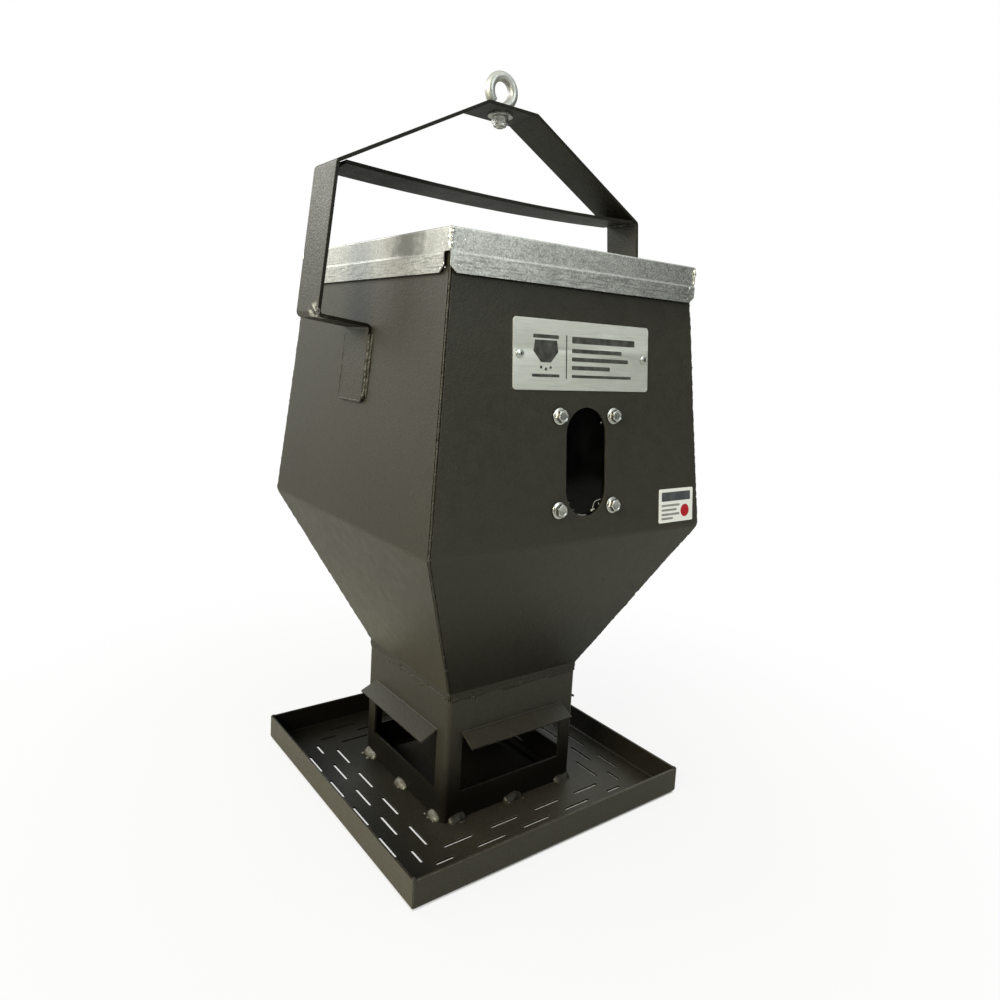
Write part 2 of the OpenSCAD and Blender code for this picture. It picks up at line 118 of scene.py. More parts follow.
class Shader:
    """One procedural material, or the world's shading, built node by node."""

    def __init__(self, name, library=bpy.data.materials, place="Object"):
        self.made = library.new(name)
        self.made.use_nodes = True
        self.tree = self.made.node_tree
        self.tree.nodes.clear()
        self.place = self.node("TexCoord").outputs[place]

    def feed(self, socket, value):
        if isinstance(value, bpy.types.NodeSocket):
            self.tree.links.new(value, socket)
        elif socket.type == "RGBA":
            grey = isinstance(value, (int, float))
            socket.default_value = (value, value, value, 1) if grey else (*value, 1)
        else:
            socket.default_value = value

    def node(self, kind, inputs=None, **settings):
        made = self.tree.nodes.new("ShaderNode" + kind)
        for key, value in settings.items():
            setattr(made, key, value)
        for key, value in (inputs or {}).items():
            self.feed(made.inputs[key], value)
        return made

    def math(self, operation, a, b=0.0):
        return self.node("Math", {0: a, 1: b}, operation=operation).outputs[0]

    def times(self, a, b):
        return self.math("MULTIPLY", a, b)

    def plus(self, a, b):
        return self.math("ADD", a, b)

    def most(self, a, b):
        return self.math("MAXIMUM", a, b)

    def rest(self, share):
        """What a share leaves of the whole."""
        return self.math("SUBTRACT", 1.0, share)

    def axes(self, vector):
        return self.node("SeparateXYZ", {"Vector": vector}).outputs

    def normal(self):
        return self.node("NewGeometry").outputs["Normal"]

    def along(self, vector, direction):
        """How far a vector points along a direction."""
        return self.node("VectorMath", {0: vector, 1: direction}, operation="DOT_PRODUCT").outputs["Value"]

    def distance(self, point):
        return self.node("VectorMath", {0: self.place, 1: point}, operation="DISTANCE").outputs["Value"]

    def reach(self, place):
        """How far a place lies from the middle, the same all along the sides of a square."""
        return self.most(self.math("ABSOLUTE", place["X"]), self.math("ABSOLUTE", place["Y"]))

    def openness(self, reach, samples):
        """1 in the open and towards 0 in corners, by what lies within this reach."""
        return self.node("AmbientOcclusion", {"Distance": reach}, samples=samples).outputs["AO"]

    def noise(self, feature, detail=2.0, roughness=0.5, stretch=(1, 1, 1), shift=0.0):
        """Noise from 0 to 1 whose features are about this size, in metres, before they are stretched."""
        where = self.node("Mapping", {"Vector": self.place, "Scale": stretch,
                                      "Location": (shift, 1.7 * shift, 2.3 * shift)})
        made = self.node("TexNoise", {"Vector": where.outputs["Vector"], "Scale": 1 / feature,
                                      "Detail": detail, "Roughness": roughness})
        return made.outputs["Fac"]

    def spread(self, value, low, high, start=0.0, end=1.0, smooth=False):
        """value mapped from low..high to start..end, and held there beyond the ends."""
        made = self.node("MapRange", {"Value": value, "From Min": low, "From Max": high,
                                      "To Min": start, "To Max": end},
                         interpolation_type="SMOOTHSTEP" if smooth else "LINEAR")
        return made.outputs["Result"]

    def mix(self, factor, a, b, blend="MIX"):
        made = self.node("Mix", data_type="RGBA", blend_type=blend)
        for socket, value in zip((made.inputs[0], made.inputs[6], made.inputs[7]), (factor, a, b)):
            self.feed(socket, value)
        return made.outputs[2]

    def bump(self, height, depth, under=None):
        """A bump whose height of 0 to 1 stands for this depth, in metres, on top of another."""
        inputs = {"Height": height, "Distance": depth, "Strength": 1.0}
        if under is not None:
            inputs["Normal"] = under
        return self.node("Bump", inputs).outputs["Normal"]

    def edges(self, radius):
        """0 on a flat and up to 1 on a sharp edge, within this distance of it."""
        rounded = self.node("Bevel", {"Radius": radius}, samples=4).outputs["Normal"]
        return self.spread(self.along(rounded, self.normal()), 0.995, 0.80)

    def finish(self, shader, output="OutputMaterial"):
        self.node(output, {"Surface": shader})
        return self.made

    def surface(self, inputs):
        return self.finish(self.node("BsdfPrincipled", inputs).outputs[0])


def heel_of_strap(sign):
    """The front end of the bend at the foot of one leg of the strap."""
    low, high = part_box("handle_strap")
    inner = high.x - 9 * MM
    under = hit("handle_strap", (sign * inner, 0, low.z), (0, 0, 1))[0].z
    return Vector((sign * high.x, low.y + 9 * MM, under + 1.5 * MM))


def powder_coat(name="powder_coat", shade=1.0, shine=0.38, corner_shade=0.70, leather=0.22 * MM,
                foot_shade=0.0, edge_and_underside_shade=0.0, rubbed=0.5, open_beyond=FAR, left_light=1.0,
                shadow_left=0.0, shadow_back=0.0, wall_shading=False):
    """Dark bronze powder coat: a leathery orange peel with a sheen.

    It is darkened and dulled in corners as painted shade, and scuffed to bare steel at the strap's
    heels. shade scales its colour, shine is its gloss and dulled how much colour and gloss the
    corners lose as painted shade, which is less on the left, where the key light falls. leather is
    the depth of its peel, soiled how dark painted shade makes it near the tray's floor,
    edge_and_underside_shade how dark painted shade makes it below and on the thin edges that face front and
    back, and rubbed how pale its sharp edges are, partly from wear and partly as a painted highlight. No
    corner gets painted shade beyond open_beyond from the middle, and there washed scales the colour of what
    faces left, as painted light. Inside that, shadow_left and shadow_back are how dark painted shadow makes
    the left-hand side and the back. aged paints the lid's shadow near the top of the hopper's walls,
    painted shade low on their left faces and painted light from the floor on those that face down
    there, and makes their other faces darker towards their foot.
    """
    s = Shader(name)
    broad = s.noise(0.11, detail=3, shift=3)
    mottle = s.noise(0.011, detail=3, shift=7)
    peel = s.noise(0.0021, detail=2.5, roughness=0.6, shift=1)
    grit = s.noise(0.0008, roughness=0.6, shift=5)
    # Pale sharp edges, partly wear and partly a painted highlight where light would catch them.
    edge_wear_and_highlight = s.spread(s.noise(0.006, detail=4, shift=9), 0.60 - 0.4 * rubbed, 0.78 - 0.2 * rubbed)
    edge_wear_and_highlight = s.times(s.edges(0.9 * MM), edge_wear_and_highlight)
    specks = s.spread(s.noise(0.0011, detail=1, shift=11), 0.73, 0.80)
    # Painted shade: colour and gloss fall in corners, by how closed in they are within 12 cm.
    open_to_light = s.openness(0.12, samples=6)
    normal = s.axes(s.normal())
    place = s.axes(s.place)
    # Faces to the left, where the key light falls, and everything beyond open_beyond are spared this painted
    # corner shade.
    on_left = s.spread(normal["X"], -0.3, -0.8, 0.0, 0.75)
    outer = s.spread(s.reach(place), open_beyond - 0.5 * MM, open_beyond)
    open_to_light = s.plus(open_to_light, s.most(on_left, outer))
    bronze = (0.0240 * shade, 0.0220 * shade, 0.0160 * shade)

    def toward(scale, share):
        """The tone so far, taken this share of the way to the bronze at this scale."""
        return s.mix(share, tone, [scale * c for c in bronze])

    tone = s.mix(s.spread(broad, 0.3, 0.7), bronze, [1.16 * c for c in bronze])
    tone = toward(1.45, s.spread(mottle, 0.3, 0.75, 0.0, 0.4))
    tone = toward(0.6, s.spread(peel, 0.35, 0.7, 0.0, 0.55))
    tone = s.mix(s.times(specks, 0.25), tone, (0.10, 0.094, 0.074))
    tone = s.mix(s.times(edge_wear_and_highlight, rubbed), tone, (0.15, 0.143, 0.12))
    tone = toward(0.22, s.spread(open_to_light, 0.85, 0.30, 0.0, corner_shade))
    gloss = s.spread(open_to_light, 0.30, 0.85, shine * (1 - corner_shade), shine)
    layers = []
    # Painted shade low on the neck, where the hopper's overhang keeps the light off near the tray's floor.
    if foot_shade:
        floor_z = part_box("neck_foot_welds")[0].z
        height = s.plus(place["Z"], s.spread(broad, 0.3, 0.7, -6 * MM, 6 * MM))
        dust_and_shade = s.spread(height, floor_z + 68 * MM, floor_z + 15 * MM, 0.0, foot_shade, smooth=True)
        layers.append((dust_and_shade, 0.12))
    # Painted light: outside faces that face left are lightened where the key light falls on them.
    if left_light > 1:
        tone = toward(left_light, s.times(outer, on_left))
    # Painted shadow: darker towards the left end and the back, and on faces to the left towards the back,
    # where nearby parts shade them.
    if shadow_left or shadow_back:
        painted_shadow = s.most(s.spread(place["X"], -50 * MM, -115 * MM, 0.0, shadow_left, smooth=True),
                       s.spread(place["Y"], -30 * MM, 85 * MM, 0.0, shadow_back, smooth=True))
        painted_shadow = s.most(painted_shadow, s.times(on_left, shadow_back))
        layers.append((s.times(painted_shadow, s.rest(outer)), 0.15))
    # Painted shadow of the lid near the top of the walls and painted shade low on their left faces; their
    # other faces also grow darker towards the foot.
    if wall_shading:
        low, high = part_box("front_panel")
        side = s.spread(normal["X"], -0.3, -0.8)
        below = s.spread(normal["Z"], -0.05, -0.25)
        foot = s.spread(place["Z"], low.z + 125 * MM, low.z + 20 * MM, smooth=True)
        top_and_foot_darkening = s.most(s.times(foot, 0.30),
                       s.spread(place["Z"], high.z - 75 * MM, high.z - 25 * MM, 0.0, 0.22, smooth=True))
        top_and_foot_darkening = s.times(top_and_foot_darkening, s.rest(side))
        bend = s.spread(place["Z"], low.z + 260 * MM, low.z + 140 * MM, 0.0, 0.20, smooth=True)
        bend = s.times(s.times(bend, side), s.rest(below))
        layers.append((s.most(top_and_foot_darkening, bend), 0.15))
    # Painted shade on the thin edges that face front and back and on faces that look down.
    if edge_and_underside_shade:
        edge_shade = s.spread(s.math("ABSOLUTE", normal["Y"]), 0.45, 0.85, 0.0, edge_and_underside_shade)
        edge_shade = s.most(edge_shade, s.spread(normal["Z"], -0.75, -0.96, 0.0, 0.9 * edge_and_underside_shade))
        layers.append((edge_shade, 0.10))
    for share, depth in layers:
        tone = toward(depth, share)
        gloss = s.times(gloss, s.rest(share))
    # Painted light from the floor on the faces low on the left that look down.
    if wall_shading:
        tone = toward(1.9, s.times(s.times(foot, side), below))
    scuffs = s.spread(s.noise(0.0042, detail=5, roughness=0.7, stretch=(1, 0.6, 1), shift=6), 0.50, 0.56)
    near_heels = [s.spread(s.distance(heel_of_strap(sign)), 13 * MM, 4 * MM) for sign in (-1, 1)]
    bare = s.times(s.plus(*near_heels), scuffs)
    tone = s.mix(bare, tone, (0.62, 0.61, 0.57))
    rough = s.spread(mottle, 0.25, 0.75, 0.38, 0.47)
    rough = s.plus(rough, s.spread(grit, 0.3, 0.7, -0.05, 0.06))
    flex = s.bump(s.noise(0.16, detail=1, shift=13), 0.9 * MM)
    skin = s.bump(peel, leather, flex)
    skin = s.bump(grit, 0.035 * MM, skin)
    return s.surface({"Base Color": tone, "Roughness": rough, "Normal": skin, "IOR": 1.52,
                      "Specular IOR Level": gloss, "Metallic": s.times(bare, 0.9)})


def galvanised():
    """Galvanised sheet: a fine crystalline grain, with rolling streaks low down and a dull patch."""
    s = Shader("galvanised_sheet")
    low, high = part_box("lid")
    fine = s.noise(0.0014, detail=3, roughness=0.7, shift=2)
    cells = s.node("TexVoronoi", {"Vector": s.node("Mapping", {"Vector": s.place}).outputs["Vector"],
                                  "Scale": 1 / 0.0017}, feature="SMOOTH_F1")
    crystal = s.node("SeparateColor", {"Color": cells.outputs["Color"]}).outputs[0]
    bloom = s.noise(0.05, detail=3, stretch=(1, 1, 0.5), shift=31)
    streaks = s.noise(0.0013, detail=3, roughness=0.6, stretch=(0.07, 0.07, 1), shift=6)
    place = s.axes(s.place)
    on_band = s.spread(place["Z"], low.z + 15 * MM, low.z + 12 * MM, 0.15, 1.0)
    scored = s.times(s.spread(streaks, 0.48, 0.62, 0.0, 0.55), on_band)
    tone = s.mix(crystal, (0.40, 0.405, 0.40), (0.60, 0.605, 0.595))
    tone = s.mix(s.spread(fine, 0.42, 0.62, 0.0, 0.8), tone, (0.82, 0.825, 0.81))
    tone = s.mix(scored, tone, (0.20, 0.205, 0.20))
    tone = s.mix(s.spread(bloom, 0.56, 0.70, 0.0, 0.5, smooth=True), tone, (0.27, 0.275, 0.27))
    patch = Vector((low.x, low.y * 0.54, high.z - 9 * MM))
    away = s.plus(s.distance(patch), s.spread(s.noise(0.012, detail=4, shift=3), 0.3, 0.7, -9 * MM, 9 * MM))
    dull = s.times(s.spread(away, 40 * MM, 8 * MM, 0.0, 0.85, smooth=True),
                   s.math("SUBTRACT", 1.15, on_band))
    tone = s.mix(dull, tone, (0.17, 0.175, 0.17))
    # Painted reflection that fades from left to right, a painted highlight at the right-hand corner and
    # painted shade on the left side.
    painted_reflection_falloff = s.spread(place["X"], -0.09, 0.11, 1.06, 0.64)
    painted_reflection_falloff = s.plus(painted_reflection_falloff, s.spread(place["X"], high.x - 8 * MM, high.x - 3 * MM, 0.0, 0.18))
    on_side = s.spread(place["X"], low.x + 3 * MM, low.x + 1.5 * MM)
    painted_reflection_falloff = s.plus(painted_reflection_falloff, s.times(on_side, -0.26))
    tone = s.mix(1.0, tone, painted_reflection_falloff, blend="MULTIPLY")
    rough = s.plus(s.spread(crystal, 0, 1, 0.34, 0.46), s.spread(fine, 0.3, 0.7, -0.06, 0.08))
    skin = s.bump(fine, 0.16 * MM)
    skin = s.bump(streaks, 0.02 * MM, skin)
    skin = s.bump(s.noise(0.07, detail=1, shift=8), 0.7 * MM, skin)
    return s.surface({"Base Color": tone, "Metallic": 0.72, "Roughness": rough, "Normal": skin})


def bright_zinc():
    """Zinc-plated hardware: bright facets, faint tints and soot, with painted shade on sides and in corners.
    """
    s = Shader("zinc_hardware")
    tint = s.noise(0.007, detail=3, shift=2)
    marks = s.noise(0.0009, detail=3, roughness=0.65, shift=5)
    soot = s.spread(s.noise(0.0030, detail=4, shift=8), 0.55, 0.72)
    crevice_shade = s.openness(3.5 * MM, samples=8)
    facing = s.along(s.normal(), WALL_OUT)
    tone = s.mix(s.spread(tint, 0.35, 0.65), (0.60, 0.61, 0.59), (0.68, 0.675, 0.65))
    tone = s.mix(s.times(soot, 0.4), tone, (0.22, 0.22, 0.21))
    # Painted shade: faces turned away from the wall's outward direction and corners closed in within a few
    # millimetres are darkened.
    tone = s.mix(s.spread(facing, 0.60, 0.25, 0.0, 0.65), tone, (0.09, 0.09, 0.085))
    tone = s.mix(s.spread(crevice_shade, 0.92, 0.52), tone, (0.02, 0.02, 0.018))
    rough = s.plus(s.spread(marks, 0.3, 0.7, 0.24, 0.34), s.times(soot, 0.12))
    skin = s.bump(marks, 0.012 * MM)
    return s.surface({"Base Color": tone, "Metallic": 1.0, "Roughness": rough, "Normal": skin})


def satin_zinc(name="satin_zinc", light=(0.62, 0.625, 0.605)):
    """The duller zinc of a bent and barrel-plated eye, with painted shade towards its outline."""
    s = Shader(name)
    cloud = s.noise(0.006, detail=3, shift=2)
    marks = s.noise(0.0011, detail=3, roughness=0.6, shift=5)
    tone = s.mix(s.spread(cloud, 0.35, 0.65), [0.84 * c for c in light], light)
    tone = s.mix(s.spread(marks, 0.5, 0.75, 0.0, 0.5), tone, (0.34, 0.35, 0.335))
    # Painted shade towards the outline, where the surface turns away from the view.
    outline_shade = s.node("LayerWeight", {"Blend": 0.5}).outputs["Facing"]
    tone = s.mix(s.spread(outline_shade, 0.50, 0.90, 0.0, 0.85), tone, (0.12, 0.125, 0.12))
    rough = s.spread(marks, 0.3, 0.7, 0.34, 0.46)
    return s.surface({"Base Color": tone, "Metallic": 0.85, "Roughness": rough,
                      "Normal": s.bump(marks, 0.015 * MM)})


def solder():
    """Bright solder, black with flux in patches."""
    s = Shader("bright_solder")
    dull = s.spread(s.noise(0.0020, detail=4, roughness=0.6, shift=2), 0.50, 0.62)
    grain = s.noise(0.0006, detail=3, shift=7)
    tone = s.mix(dull, (0.93, 0.935, 0.91), (0.20, 0.20, 0.185))
    skin = s.bump(s.noise(0.0014, shift=5), 0.16 * MM)
    return s.surface({"Base Color": tone, "Metallic": 0.9, "Roughness": s.spread(dull, 0, 1, 0.2, 0.5),
                      "Normal": s.bump(grain, 0.02 * MM, skin)})


def plate_metal():
    """Satin aluminium plate, brushed along its length, with a few smudges."""
    s = Shader("nameplate_metal")
    brushed = s.noise(0.00045, stretch=(0.02, 1, 1), shift=1)
    smudge = s.spread(s.noise(0.014, detail=4, shift=6), 0.55, 0.75)
    tone = s.mix(s.spread(brushed, 0.3, 0.7), (0.72, 0.725, 0.69), (0.84, 0.845, 0.805))
    tone = s.mix(s.times(smudge, 0.25), tone, (0.52, 0.52, 0.49))
    rough = s.plus(s.spread(brushed, 0.3, 0.7, 0.36, 0.46), s.times(smudge, 0.08))
    skin = s.bump(brushed, 0.008 * MM)
    return s.surface({"Base Color": tone, "Metallic": 0.75, "Roughness": rough, "Normal": skin,
                      "Anisotropic": 0.5})


def clear_pane():
    """Clear plastic, a little dusty on its face, tinted dark as painted shade for the hopper's inside."""
    s = Shader("clear_pane")
    dust_and_shade = s.spread(s.noise(0.004, detail=5, roughness=0.7, shift=3), 0.5, 0.8)
    smear = s.spread(s.noise(0.016, detail=4, roughness=0.65, stretch=(1, 1, 0.5), shift=14), 0.42, 0.66)
    dust_and_shade = s.most(dust_and_shade, s.times(smear, 0.6))
    rough = s.plus(0.04, s.times(dust_and_shade, 0.18))
    # The dark tint is painted shade for the hopper's inside seen through the pane.
    tone = s.mix(s.times(dust_and_shade, 0.3), (0.45, 0.48, 0.45), (0.34, 0.34, 0.32))
    clear = s.spread(dust_and_shade, 0.0, 1.0, 1.0, 0.993)
    wave = s.bump(s.noise(0.03, detail=1, shift=2), 0.12 * MM)
    return s.surface({"Base Color": tone, "Roughness": rough, "IOR": 1.2, "Normal": wave,
                      "Transmission Weight": clear, "Specular IOR Level": 0.3})


def label_film(name="label_film", white=0.90):
    """White vinyl film with a soft gloss and a trace of dirt in patches."""
    s = Shader(name)
    dirt = s.spread(s.noise(0.005, detail=4, shift=4), 0.55, 0.8)
    tone = s.mix(s.times(dirt, 0.25), (white, white, 0.985 * white),
                 (0.78 * white, 0.77 * white, 0.71 * white))
    skin = s.bump(s.noise(0.0012, shift=1), 0.015 * MM)
    return s.surface({"Base Color": tone, "Roughness": s.spread(dirt, 0, 1, 0.33, 0.5), "Normal": skin})


def ink(name, colour, faded):
    """Printed ink that has rubbed thin in places."""
    s = Shader(name)
    rubbed = s.spread(s.noise(0.009, detail=4, roughness=0.6, shift=5), 0.40, 0.72)
    grain = s.noise(0.0004, shift=2)
    tone = s.mix(s.times(rubbed, 0.6), colour, faded)
    return s.surface({"Base Color": tone, "Roughness": s.spread(grain, 0.3, 0.7, 0.42, 0.6),
                      "Normal": s.bump(grain, 0.01 * MM), "Specular IOR Level": 0.25})


def nylon():
    """The off-white nylon ring of a lock nut."""
    s = Shader("nylon_ring")
    grain = s.noise(0.0006, detail=3, shift=1)
    tone = s.mix(s.spread(grain, 0.3, 0.7), (0.55, 0.56, 0.54), (0.66, 0.66, 0.63))
    return s.surface({"Base Color": tone, "Roughness": s.spread(grain, 0.3, 0.7, 0.4, 0.55),
                      "Normal": s.bump(grain, 0.02 * MM), "Subsurface Weight": 0.2,
                      "Subsurface Radius": (0.001, 0.001, 0.001)})


def pale_floor():
    """A plain pale floor, near white to the camera, in shade under the tray and close beside it."""
    s = Shader("pale_floor")
    grain = s.noise(0.4)
    tone = s.mix(s.spread(grain, 0.3, 0.7), (0.46, 0.46, 0.44), (0.49, 0.49, 0.47))
    lit = s.node("BsdfDiffuse", {"Color": tone}).outputs[0]
    glow = s.node("Emission", {"Color": (1.0, 1.0, 1.0), "Strength": 1.0}).outputs[0]
    seen = s.node("LightPath").outputs["Is Camera Ray"]
    away = s.node("VectorMath", {0: s.place}, operation="LENGTH").outputs["Value"]
    beside = s.spread(away, 0.15, 0.7, 0.86, 1.0, smooth=True)
    place = s.axes(s.place)
    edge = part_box("feed_tray")[1].x
    outside = s.spread(s.reach(place), edge - 2 * MM, edge)
    under = s.spread(s.math("SUBTRACT", place["Y"], place["X"]), -0.10, 0.06, 0.13, 0.66, smooth=True)
    share = s.plus(s.times(beside, outside), s.times(under, s.rest(outside)))
    mixed = s.node("MixShader", {0: s.times(seen, share), 1: lit, 2: glow}).outputs[0]
    return s.finish(mixed)


PAINT = powder_coat(wall_shading=True)
# The strap and bar carry painted shade on their thin edges and undersides, and the bar a painted shadow of
# the strap's leg towards its left end.
STRAP_PAINT = powder_coat("strap_coat", corner_shade=0.45, leather=0.38 * MM, edge_and_underside_shade=0.6)
BAR_PAINT = powder_coat("bar_coat", corner_shade=0.45, leather=0.38 * MM, edge_and_underside_shade=0.5, shadow_left=0.7)
# A darker copy of the coat for the neck, as painted shade under the hopper, with more painted shade towards
# its foot.
NECK_PAINT = powder_coat("neck_coat", shade=0.87, corner_shade=0.68, foot_shade=0.80,
                         open_beyond=half_at("feed_neck", NECK_Z) + 2 * MM)
# A slightly lighter copy of the coat for the tray, with painted light on its outside faces to the left and
# painted shadow inside at the left and back.
TRAY_PAINT = powder_coat("tray_coat", shade=1.05, corner_shade=0.55, rubbed=1.0, left_light=2.0,
                         shadow_left=0.45, shadow_back=0.75,
                         open_beyond=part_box("feed_tray")[1].x - 0.5 * MM)
# A brighter, glossier copy of the coat: painted light on the weld beads that the key light reaches.
LIT_BEAD_PAINT = powder_coat("lit_bead_coat", shade=2.0, shine=0.75, corner_shade=0.20)
# A dark, dull copy of the coat: painted shade on the diverter deep inside the neck.
SHADED_INNER_PAINT = powder_coat("shaded_inner_coat", shade=0.3, shine=0.04)
GALVANISED = galvanised()
ZINC = bright_zinc()
SATIN = satin_zinc()
# A paler copy of the satin zinc: painted reflection on the nut and washer, whose undersides look down into
# the dark.
LIT_SATIN = satin_zinc("reflection_lit_zinc", light=(0.88, 0.885, 0.87))
PLATE = plate_metal()
PANE = clear_pane()
FILM = label_film(white=0.80)
SCRAP = label_film("scrap_film", white=0.42)
NYLON = nylon()
SOLDER = solder()
PLATE_INK = ink("plate_ink", (0.035, 0.035, 0.033), (0.14, 0.14, 0.135))
SLATE_INK = ink("slate_ink", (0.05, 0.055, 0.065), (0.12, 0.125, 0.13))
GREY_INK = ink("grey_ink", (0.22, 0.22, 0.22), (0.36, 0.36, 0.35))
RED_INK = ink("red_ink", (0.40, 0.004, 0.012), (0.44, 0.02, 0.03))
TAR = ink("dark_specks", (0.004, 0.004, 0.003), (0.009, 0.009, 0.008))


# ---- Mesh helpers ----

def add_object(name, data):
    made = bpy.data.objects.new(name, data)
    bpy.context.scene.collection.objects.link(made)
    return made


def to_object(bm, name, material, crease=35):
    """Turns a bmesh into an object, smooth except across edges sharper than crease degrees."""
    bmesh.ops.recalc_face_normals(bm, faces=bm.faces)
    for face in bm.faces:
        face.smooth = True
    for edge in bm.edges:
        if len(edge.link_faces) == 2 and edge.calc_face_angle(0) > math.radians(crease):
            edge.smooth = False
    mesh = bpy.data.meshes.new(name)
    bm.to_mesh(mesh)
    bm.free()
    mesh.materials.append(material)
    return add_object(name, mesh)


def add_piece(bm, name, material, body, stands_for=None, crease=70):
    """Turns a bmesh into a piece that rides on a body, in place of a CAD node where one is named."""
    piece = to_object(bm, name, material, crease)
    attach(piece, body)
    if stands_for:
        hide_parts(stands_for)
    return piece


def modify(piece, name, kind, **settings):
    made = piece.modifiers.new(name, kind)
    for key, value in settings.items():
        setattr(made, key, value)


def soften(piece, width, angle=24, **settings):
    """Rounds the edges of a piece that are sharper than angle degrees."""
    modify(piece, "edges", "BEVEL", width=width, segments=2, limit_method="ANGLE",
           angle_limit=math.radians(angle), **settings)


def even_out(piece):
    """Shades the large faces of a piece flat."""
    modify(piece, "even", "WEIGHTED_NORMAL", keep_sharp=True)


def skin_rings(bm, rings):
    """Skins equal rings of points into a tube with capped ends."""
    loops = [[bm.verts.new(p) for p in ring] for ring in rings]
    count = len(loops[0])
    for a, b in zip(loops, loops[1:]):
        for i in range(count):
            j = (i + 1) % count
            bm.faces.new((a[i], a[j], b[j], b[i]))
    for loop in (loops[0], loops[-1]):
        bm.faces.new(loop)


def turned(bm, placed, profile, count):
    """Turns a profile of (radius, height) pairs, in millimetres, about a frame's Z axis.

    There are count points to a turn, and a radius or height may be a function of the angle.
    """
    rings = []
    for radius, height in profile:
        ring = []
        for angle in full_circle(count):
            r = MM * (radius(angle) if callable(radius) else radius)
            z = MM * (height(angle) if callable(height) else height)
            ring.append(placed @ Vector((r * math.cos(angle), r * math.sin(angle), z)))
        rings.append(ring)
    skin_rings(bm, rings)


def full_circle(count):
    return [2 * math.pi * k / count for k in range(count)]


def resample(points, step):
    """Points at an even step along a polyline."""
    points = [Vector(p) for p in points]
    lengths = [0.0]
    for a, b in zip(points, points[1:]):
        lengths.append(lengths[-1] + (b - a).length)
    count = max(4, round(lengths[-1] / step))
    made, k = [], 0
    for i in range(count + 1):
        at = lengths[-1] * i / count
        while k < len(points) - 2 and lengths[k + 1] < at:
            k += 1
        span = lengths[k + 1] - lengths[k]
        made.append(points[k].lerp(points[k + 1], (at - lengths[k]) / span))
    return made


def course(path, i):
    """The direction a path takes at its point i."""
    return (path[min(i + 1, len(path) - 1)] - path[max(i - 1, 0)]).normalized()


def ragged(p, feature, seed):
    """Smooth noise from about -1 to 1."""
    return noise.noise(Vector(p) / feature + Vector((seed, seed * 0.37, -seed)))


def weld(bm, points, outward, width, height, seed, turn=NO_TURN, pitch=2.6, ripple=0.16, lump=0.30,
         taper=3.5, step=0.55, sides=14, sunk=0.35, grain=0.10, grain_size=1.3, chatter=0.5):
    """A welded bead along a line of points, lumpy and rippled, with rounded ends.

    Its lengths are in millimetres: it is width wide, stands height proud in the direction outward,
    has a ripple every pitch and is rounded over taper at its ends. It is sunk in below the surface
    by that share of its height. chatter is the share of its lumps that comes in short steps. turn
    takes its points and direction round to their side of the part.
    """
    width, height, pitch, taper, grain_size = (v * MM for v in (width, height, pitch, taper, grain_size))
    path = resample([turn @ p for p in points], step * MM)
    outward = turn.to_3x3() @ outward
    total = sum((b - a).length for a, b in zip(path, path[1:]))
    rings, run = [], 0.0
    for i, p in enumerate(path):
        if i:
            run += (p - path[i - 1]).length
        ahead = course(path, i)
        out = (outward - outward.dot(ahead) * ahead).normalized()
        side = ahead.cross(out)
        end = min(run, total - run)
        close = math.sqrt(max(0.02, 1 - (1 - min(1.0, end / taper)) ** 2))
        swell = 1 + lump * ragged(p, 5.5 * MM, seed) + chatter * lump * ragged(p, 2.2 * MM, seed + 9)
        drift = 0.16 * width * ragged(p, 8 * MM, seed + 4)
        ring = []
        for angle in full_circle(sides):
            u, v = math.cos(angle), math.sin(angle)
            phase = (run + 0.45 * width * u * u) / pitch
            wave = 1 + ripple * (abs(math.sin(math.pi * phase)) - 0.6) * max(0.0, v)
            rough = 1 + grain * ragged(p + side * u * width, grain_size, seed + 2)
            w = 0.5 * width * close * (0.8 + 0.2 * swell)
            h = height * close * swell * wave * rough
            ring.append(p + side * (drift + w * u)
                        + out * (h * v if v > 0 else sunk * height * v))
        rings.append(ring)
    skin_rings(bm, rings)


def blob(bm, centre, normal, radius, height, seed, sides=12, turn=NO_TURN):
    """A small round-topped lump on a surface, of a radius and height in millimetres."""
    radius, height = radius * MM, height * MM
    centre = turn @ centre
    normal = (turn.to_3x3() @ normal).normalized()
    across = normal.orthogonal().normalized()
    other = normal.cross(across)
    rings = []
    for k in range(5):
        tilt = math.radians(-25 + 26 * k)
        ring = []
        for angle in full_circle(sides):
            r = radius * math.cos(tilt) * (1 + 0.18 * ragged((angle, k, 0), 1.1, seed))
            ring.append(centre + across * r * math.cos(angle) + other * r * math.sin(angle)
                        + normal * height * math.sin(tilt))
        rings.append(ring)
    skin_rings(bm, rings)


# ---- Welds ----

def drawn_blob(bm, draw, centre, normal, radius, height, sides=12, turn=NO_TURN):
    """A lump whose radius and height are drawn from these ranges."""
    blob(bm, centre, normal, draw.uniform(*radius), draw.uniform(*height), draw.random() * 50, sides, turn)


def corner_line(z_from, z_to, depth):
    """The hopper's front-left corner from one height to another, sunk in by this depth."""
    count = max(2, round((z_to - z_from) / (2 * MM)))
    line = []
    for i in range(count + 1):
        z = z_from + (z_to - z_from) * i / count
        half = half_at("right_panel", z)
        line.append(Vector((-half, -half, z)) - DIAGONAL * depth)
    return line


